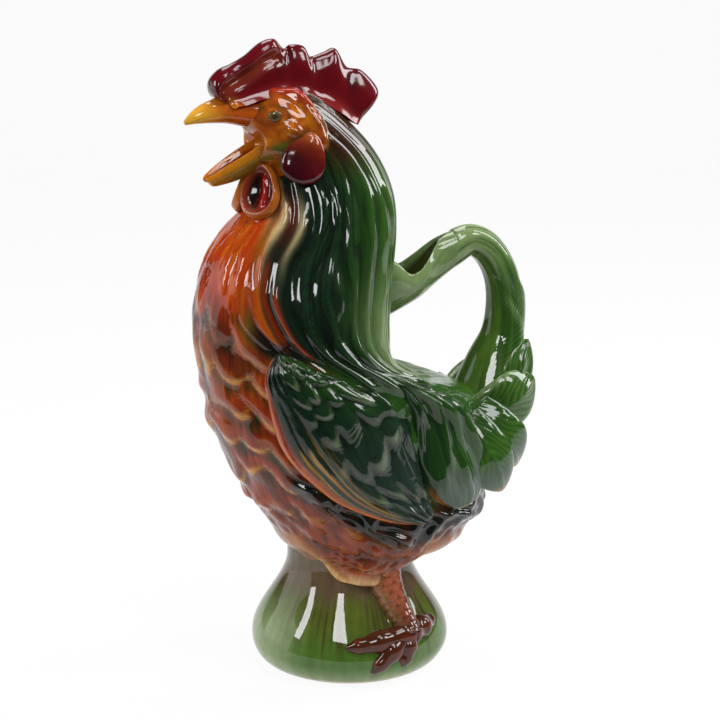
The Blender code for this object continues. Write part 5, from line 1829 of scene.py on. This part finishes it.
@dataclass
class LegsAndFeet:
    """Scaly shanks down the foot's sides, and feet of four knuckled toes with claws."""

    pedestal: Pedestal
    shank: Table = (
        (1.0, 78.0, 4.0, -12.0), (2.5, 69.0, 8.5, -8.5), (4.5, 60.0, 10.0, -2.5), (5.5, 50.0, 8.8, 0.4),
        (8.5, 39.5, 7.4, 0.6), (11.5, 31.0, 6.8, 0.6), (12.5, 27.0, 7.0, 0.6))
    shank_grid: Tuple[int, int] = (150, 72)
    plates: float = 19.0
    ankle: Tuple[float, float] = (12.5, 27.0)
    toes: Table = ((-23.5, 23.5), (-11.0, 9.5), (7.0, 10.5), (32.5, 29.0))
    toe_radii: Table = ((7.0,), (6.6,), (6.0,), (5.6,), (4.4,), (1.4,))
    toe_grid: Tuple[int, int] = (80, 48)
    knuckles: float = 5.0
    knuckle_height: float = 0.55
    plate_height: float = 0.5
    bend: float = 1.4

    def _leg(self) -> Patch:
        """The shank: a tapering bar with plates of horn across it, cream at the thigh.

        Returns:
            An open patch.
        """
        run, turn = grid(*self.shank_grid)
        x, z, radius, standoff = along(self.shank, run[:, 0] * (len(self.shank) - 1)).T
        aside = np.sin(turn)
        plate = shingles(run * self.plates, aside * 1.5 + 0.5, roundness=0.45)
        lower = ease(0.25, 0.5, run)
        radii = radius[:, None] + self.plate_height * (plate.height - 0.4) * lower
        colour = wash(
            tint(Pigment.CLAY, run),
            (Pigment.BRICK, 0.6 * ease(0.12, 0.5, run)),
            (Pigment.COCOA, 0.85 * ease(0.45, 0.95, run) + 0.5 * plate.groove * lower),
            (Pigment.COCOA, 0.7 * ease(0.1, 0.8, -aside) * ease(0.2, 0.5, run)),
            (Pigment.OLIVE, 0.35 * ease(0.2, 0.9, aside) * ease(0.1, 0.3, run)))
        return Patch(tube(self.pedestal.on_side(x, z, standoff), radii, turn), colour,
                     vec(aside * 4.0, run * 9.0, 0.0), plate.groove * lower * 0.7)

    def _toe(self, tip: Sequence[float]) -> Patch:
        """One toe: a bar that swells at its knuckles and ends in a claw.

        Args:
            tip: x and z of the claw's tip.

        Returns:
            A closed patch.
        """
        run, turn = grid(*self.toe_grid)
        share = run[:, 0]
        drop = share ** self.bend if tip[1] < self.ankle[1] else share
        x = self.ankle[0] + (tip[0] - self.ankle[0]) * share
        z = self.ankle[1] + (tip[1] - self.ankle[1]) * drop
        base = along(self.toe_radii, share * (len(self.toe_radii) - 1))[:, 0]
        knuckle = self.knuckle_height * np.sin(share * math.pi * self.knuckles) * ease(1.0, 0.8, share)
        ends = np.sqrt(ease(-0.001, 0.03, share) * ease(1.001, 0.97, share))
        radii = np.broadcast_to(((base + knuckle) * ends)[:, None], run.shape)
        colour = wash(
            tint(Pigment.COCOA, run),
            (Pigment.RUST, 0.35 * ease(0.0, 0.8, drift(run * 6, turn, 91.0))),
            (Pigment.INK, 0.5 * ease(0.85, 1.0, run)))
        return Patch(tube(self.pedestal.on_side(x, z, -0.12 * base), radii, turn), colour,
                     vec(turn, run * 4.0, 0.0), start_pole=True, end_pole=True)

    def build(self) -> None:
        """Makes both legs and both feet."""
        leg = self._leg().closed()
        toes = [self._toe(tip) for tip in self.toes]
        for side in Side:
            make_piece(f"scaly_shank_{side.word}", [leg.on(side)], LEG_GLAZE, [f"leg_{side.word}"])
            make_piece(f"clawed_foot_{side.word}", [toe.on(side) for toe in toes], LEG_GLAZE,
                       [f"foot_{side.word}"])


@dataclass(frozen=True)
class Softbox:
    """A studio lamp with a white front: where it stands seen from the jug, its size and its brightness."""

    name: str
    azimuth: float
    elevation: float
    distance: float
    width: float
    height: float
    radiance: float


@dataclass
class Studio:
    """The white sweep, the lamps and the camera, in metres and degrees."""

    lamps: Tuple[Softbox, ...] = (
        Softbox("left_front_softbox", -36.0, 30.0, 1.3, 0.24, 0.32, 14.0),
        Softbox("right_front_softbox", 42.0, 38.0, 1.3, 0.28, 0.40, 11.0),
        Softbox("front_softbox", 8.0, 48.0, 1.3, 0.28, 0.34, 10.0),
        Softbox("overhead_softbox", -8.0, 68.0, 1.3, 0.40, 0.30, 9.0),
        Softbox("right_softbox", 84.0, 35.0, 1.2, 0.34, 1.00, 9.0),
        Softbox("left_rear_softbox", -94.0, 28.0, 1.2, 0.18, 0.56, 13.0),
        Softbox("top_softbox", 165.0, 66.0, 1.3, 0.60, 0.60, 6.0),
        Softbox("left_card", -122.0, 6.0, 1.2, 1.00, 0.70, 1.2),
    )
    aim: float = 0.17
    front_reach: float = 0.26
    depth: float = 1.5
    cove_radius: float = 0.5
    rise: float = 0.9
    breadth: float = 1.6
    sweep_grid: Tuple[int, int] = (90, 40)
    paper_white: float = 0.93
    paper_mirrored: float = 0.75
    paper_glow: Tuple[float, float] = (0.10, 0.90)
    room_light: Tuple[float, ...] = (0.035, 0.036, 0.038, 1.0)
    camera_back: float = 1.150
    camera_side: float = 25.0
    camera_height: float = 0.465
    camera_yaw: float = 0.00527
    camera_pitch: float = -0.2534
    focal_pixels: float = 2230.9
    half_frame: float = 360.0

    def build(self) -> None:
        """Sets up the sweep, the lamps, the world and the camera."""
        self._sweep()
        for lamp in self.lamps:
            self._lamp(lamp)
        self._world()
        self._camera()
        bpy.context.scene.view_settings.view_transform = "Standard"

    def _world(self) -> None:
        """A dim room that the camera sees as white."""
        world = bpy.data.worlds.new("dim_studio")
        world.use_nodes = True
        tree = world.node_tree
        dim = tree.nodes["Background"]
        connect(tree, dim, {"Color": self.room_light})
        white = add_node(tree, "Background", {"Color": (1.0, 1.0, 1.0, 1.0)})
        seen = add_node(tree, "LightPath").outputs["Is Camera Ray"]
        mix = add_node(tree, "MixShader", {0: seen, 1: dim.outputs[0], 2: white.outputs[0]})
        connect(tree, tree.nodes["World Output"], {"Surface": mix.outputs[0]})
        bpy.context.scene.world = world

    def _sweep(self) -> None:
        """The paper: flat under the jug, then a quarter circle up behind it, turned to face the camera."""
        radius, quarter = self.cove_radius, math.pi / 2
        run, across = grid(*self.sweep_grid, closed=False)
        length = self.front_reach + self.depth + radius * quarter + self.rise
        place = run * length - self.front_reach
        bend = np.clip((place - self.depth) / radius, 0.0, quarter)
        back = np.minimum(place, self.depth) + radius * np.sin(bend)
        lift = radius * (1 - np.cos(bend)) + np.clip(place - self.depth - radius * quarter, 0.0, None)
        wide = (across * 2 - 1) * self.breadth
        angle = math.radians(self.camera_side)
        points = vec(back * math.sin(angle) + wide * math.cos(angle) + AXIS_X,
                     back * math.cos(angle) - wide * math.sin(angle), lift)
        number = np.arange(run.size).reshape(run.shape)
        corners = [number[:-1, :-1], number[:-1, 1:], number[1:, 1:], number[1:, :-1]]
        faces = np.stack(corners, -1).reshape(-1, 4)
        mesh = bpy.data.meshes.new("white_sweep")
        mesh.from_pydata(points.reshape(-1, 3).tolist(), [], faces[:, ::-1].tolist())
        mesh.polygons.foreach_set("use_smooth", np.ones(len(faces), bool))
        mesh.materials.append(self._paper())
        sweep = bpy.data.objects.new("white_sweep", mesh)
        bpy.context.scene.collection.objects.link(sweep)

    def _paper(self) -> bpy.types.Material:
        """White paper that also reads as white to the camera and in reflections, yet keeps the shadow.

        Returns:
            The material.
        """
        made = bpy.data.materials.new("white_paper")
        made.use_nodes = True
        tree = made.node_tree
        tree.nodes.clear()
        path = add_node(tree, "LightPath")
        seen, mirrored = path.outputs["Is Camera Ray"], path.outputs["Is Glossy Ray"]
        gain, least = self.paper_glow
        matt = add_node(tree, "BsdfDiffuse", {"Color": (self.paper_white,) * 3 + (1.0,)})
        strength = add_node(tree, "Math", {0: seen, 1: gain, 2: least}, operation="MULTIPLY_ADD")
        glow = add_node(tree, "Emission", {"Strength": strength.outputs[0]})
        reflected = add_node(tree, "Math", {0: mirrored, 1: self.paper_mirrored}, operation="MULTIPLY")
        share = add_node(tree, "Math", {0: seen, 1: self.paper_white, 2: reflected.outputs[0]},
                         operation="MULTIPLY_ADD")
        mix = add_node(tree, "MixShader", {0: share.outputs[0], 1: matt.outputs[0], 2: glow.outputs[0]})
        add_node(tree, "OutputMaterial", {"Surface": mix.outputs[0]})
        return made

    def _lamp(self, lamp: Softbox) -> None:
        """One softbox, turned towards the jug's middle.

        Args:
            lamp: its sizes and place.
        """
        azimuth, elevation = math.radians(lamp.azimuth), math.radians(lamp.elevation)
        away = Vector((math.sin(azimuth) * math.cos(elevation), -math.cos(azimuth) * math.cos(elevation),
                       math.sin(elevation)))
        light = bpy.data.lights.new(lamp.name, "AREA")
        light.shape = "RECTANGLE"
        light.size, light.size_y = lamp.width, lamp.height
        light.energy = lamp.radiance * math.pi * lamp.width * lamp.height
        holder = bpy.data.objects.new(lamp.name, light)
        holder.location = Vector((AXIS_X, 0.0, self.aim)) + away * lamp.distance
        holder.rotation_euler = away.to_track_quat("Z", "Y").to_euler()
        bpy.context.scene.collection.objects.link(holder)

    def _camera(self) -> None:
        """The camera at the photograph's place, without shift or depth of field."""
        angle = math.radians(self.camera_side)
        heading, level = angle + self.camera_yaw, math.cos(self.camera_pitch)
        ahead = Vector((math.sin(heading) * level, math.cos(heading) * level, math.sin(self.camera_pitch)))
        right = ahead.cross(Vector((0.0, 0.0, 1.0))).normalized()
        up = right.cross(ahead)
        lens = bpy.data.cameras.new("studio_camera")
        lens.angle = 2 * math.atan(self.half_frame / self.focal_pixels)
        lens.clip_start = 0.05
        holder = bpy.data.objects.new("studio_camera", lens)
        place = Vector((AXIS_X - math.sin(angle) * self.camera_back, -math.cos(angle) * self.camera_back,
                        self.camera_height))
        holder.matrix_world = Matrix.Translation(place) @ Matrix((right, up, -ahead)).transposed().to_4x4()
        bpy.context.scene.collection.objects.link(holder)
        bpy.context.scene.camera = holder


def main() -> None:
    logging.basicConfig(level=logging.INFO, format="%(name)s: %(message)s")
    vessel = Vessel()
    pedestal = Pedestal()
    for maker in (pedestal, Bird(Plumage(vessel)), Wings(vessel), SaddleFeathers(vessel), TailHandle(),
                  TailFeathers(), FillingLip(), Beak(), Comb(), FaceDrops(), LegsAndFeet(pedestal), Studio()):
        maker.build()


if __name__ == "__main__":
    main()
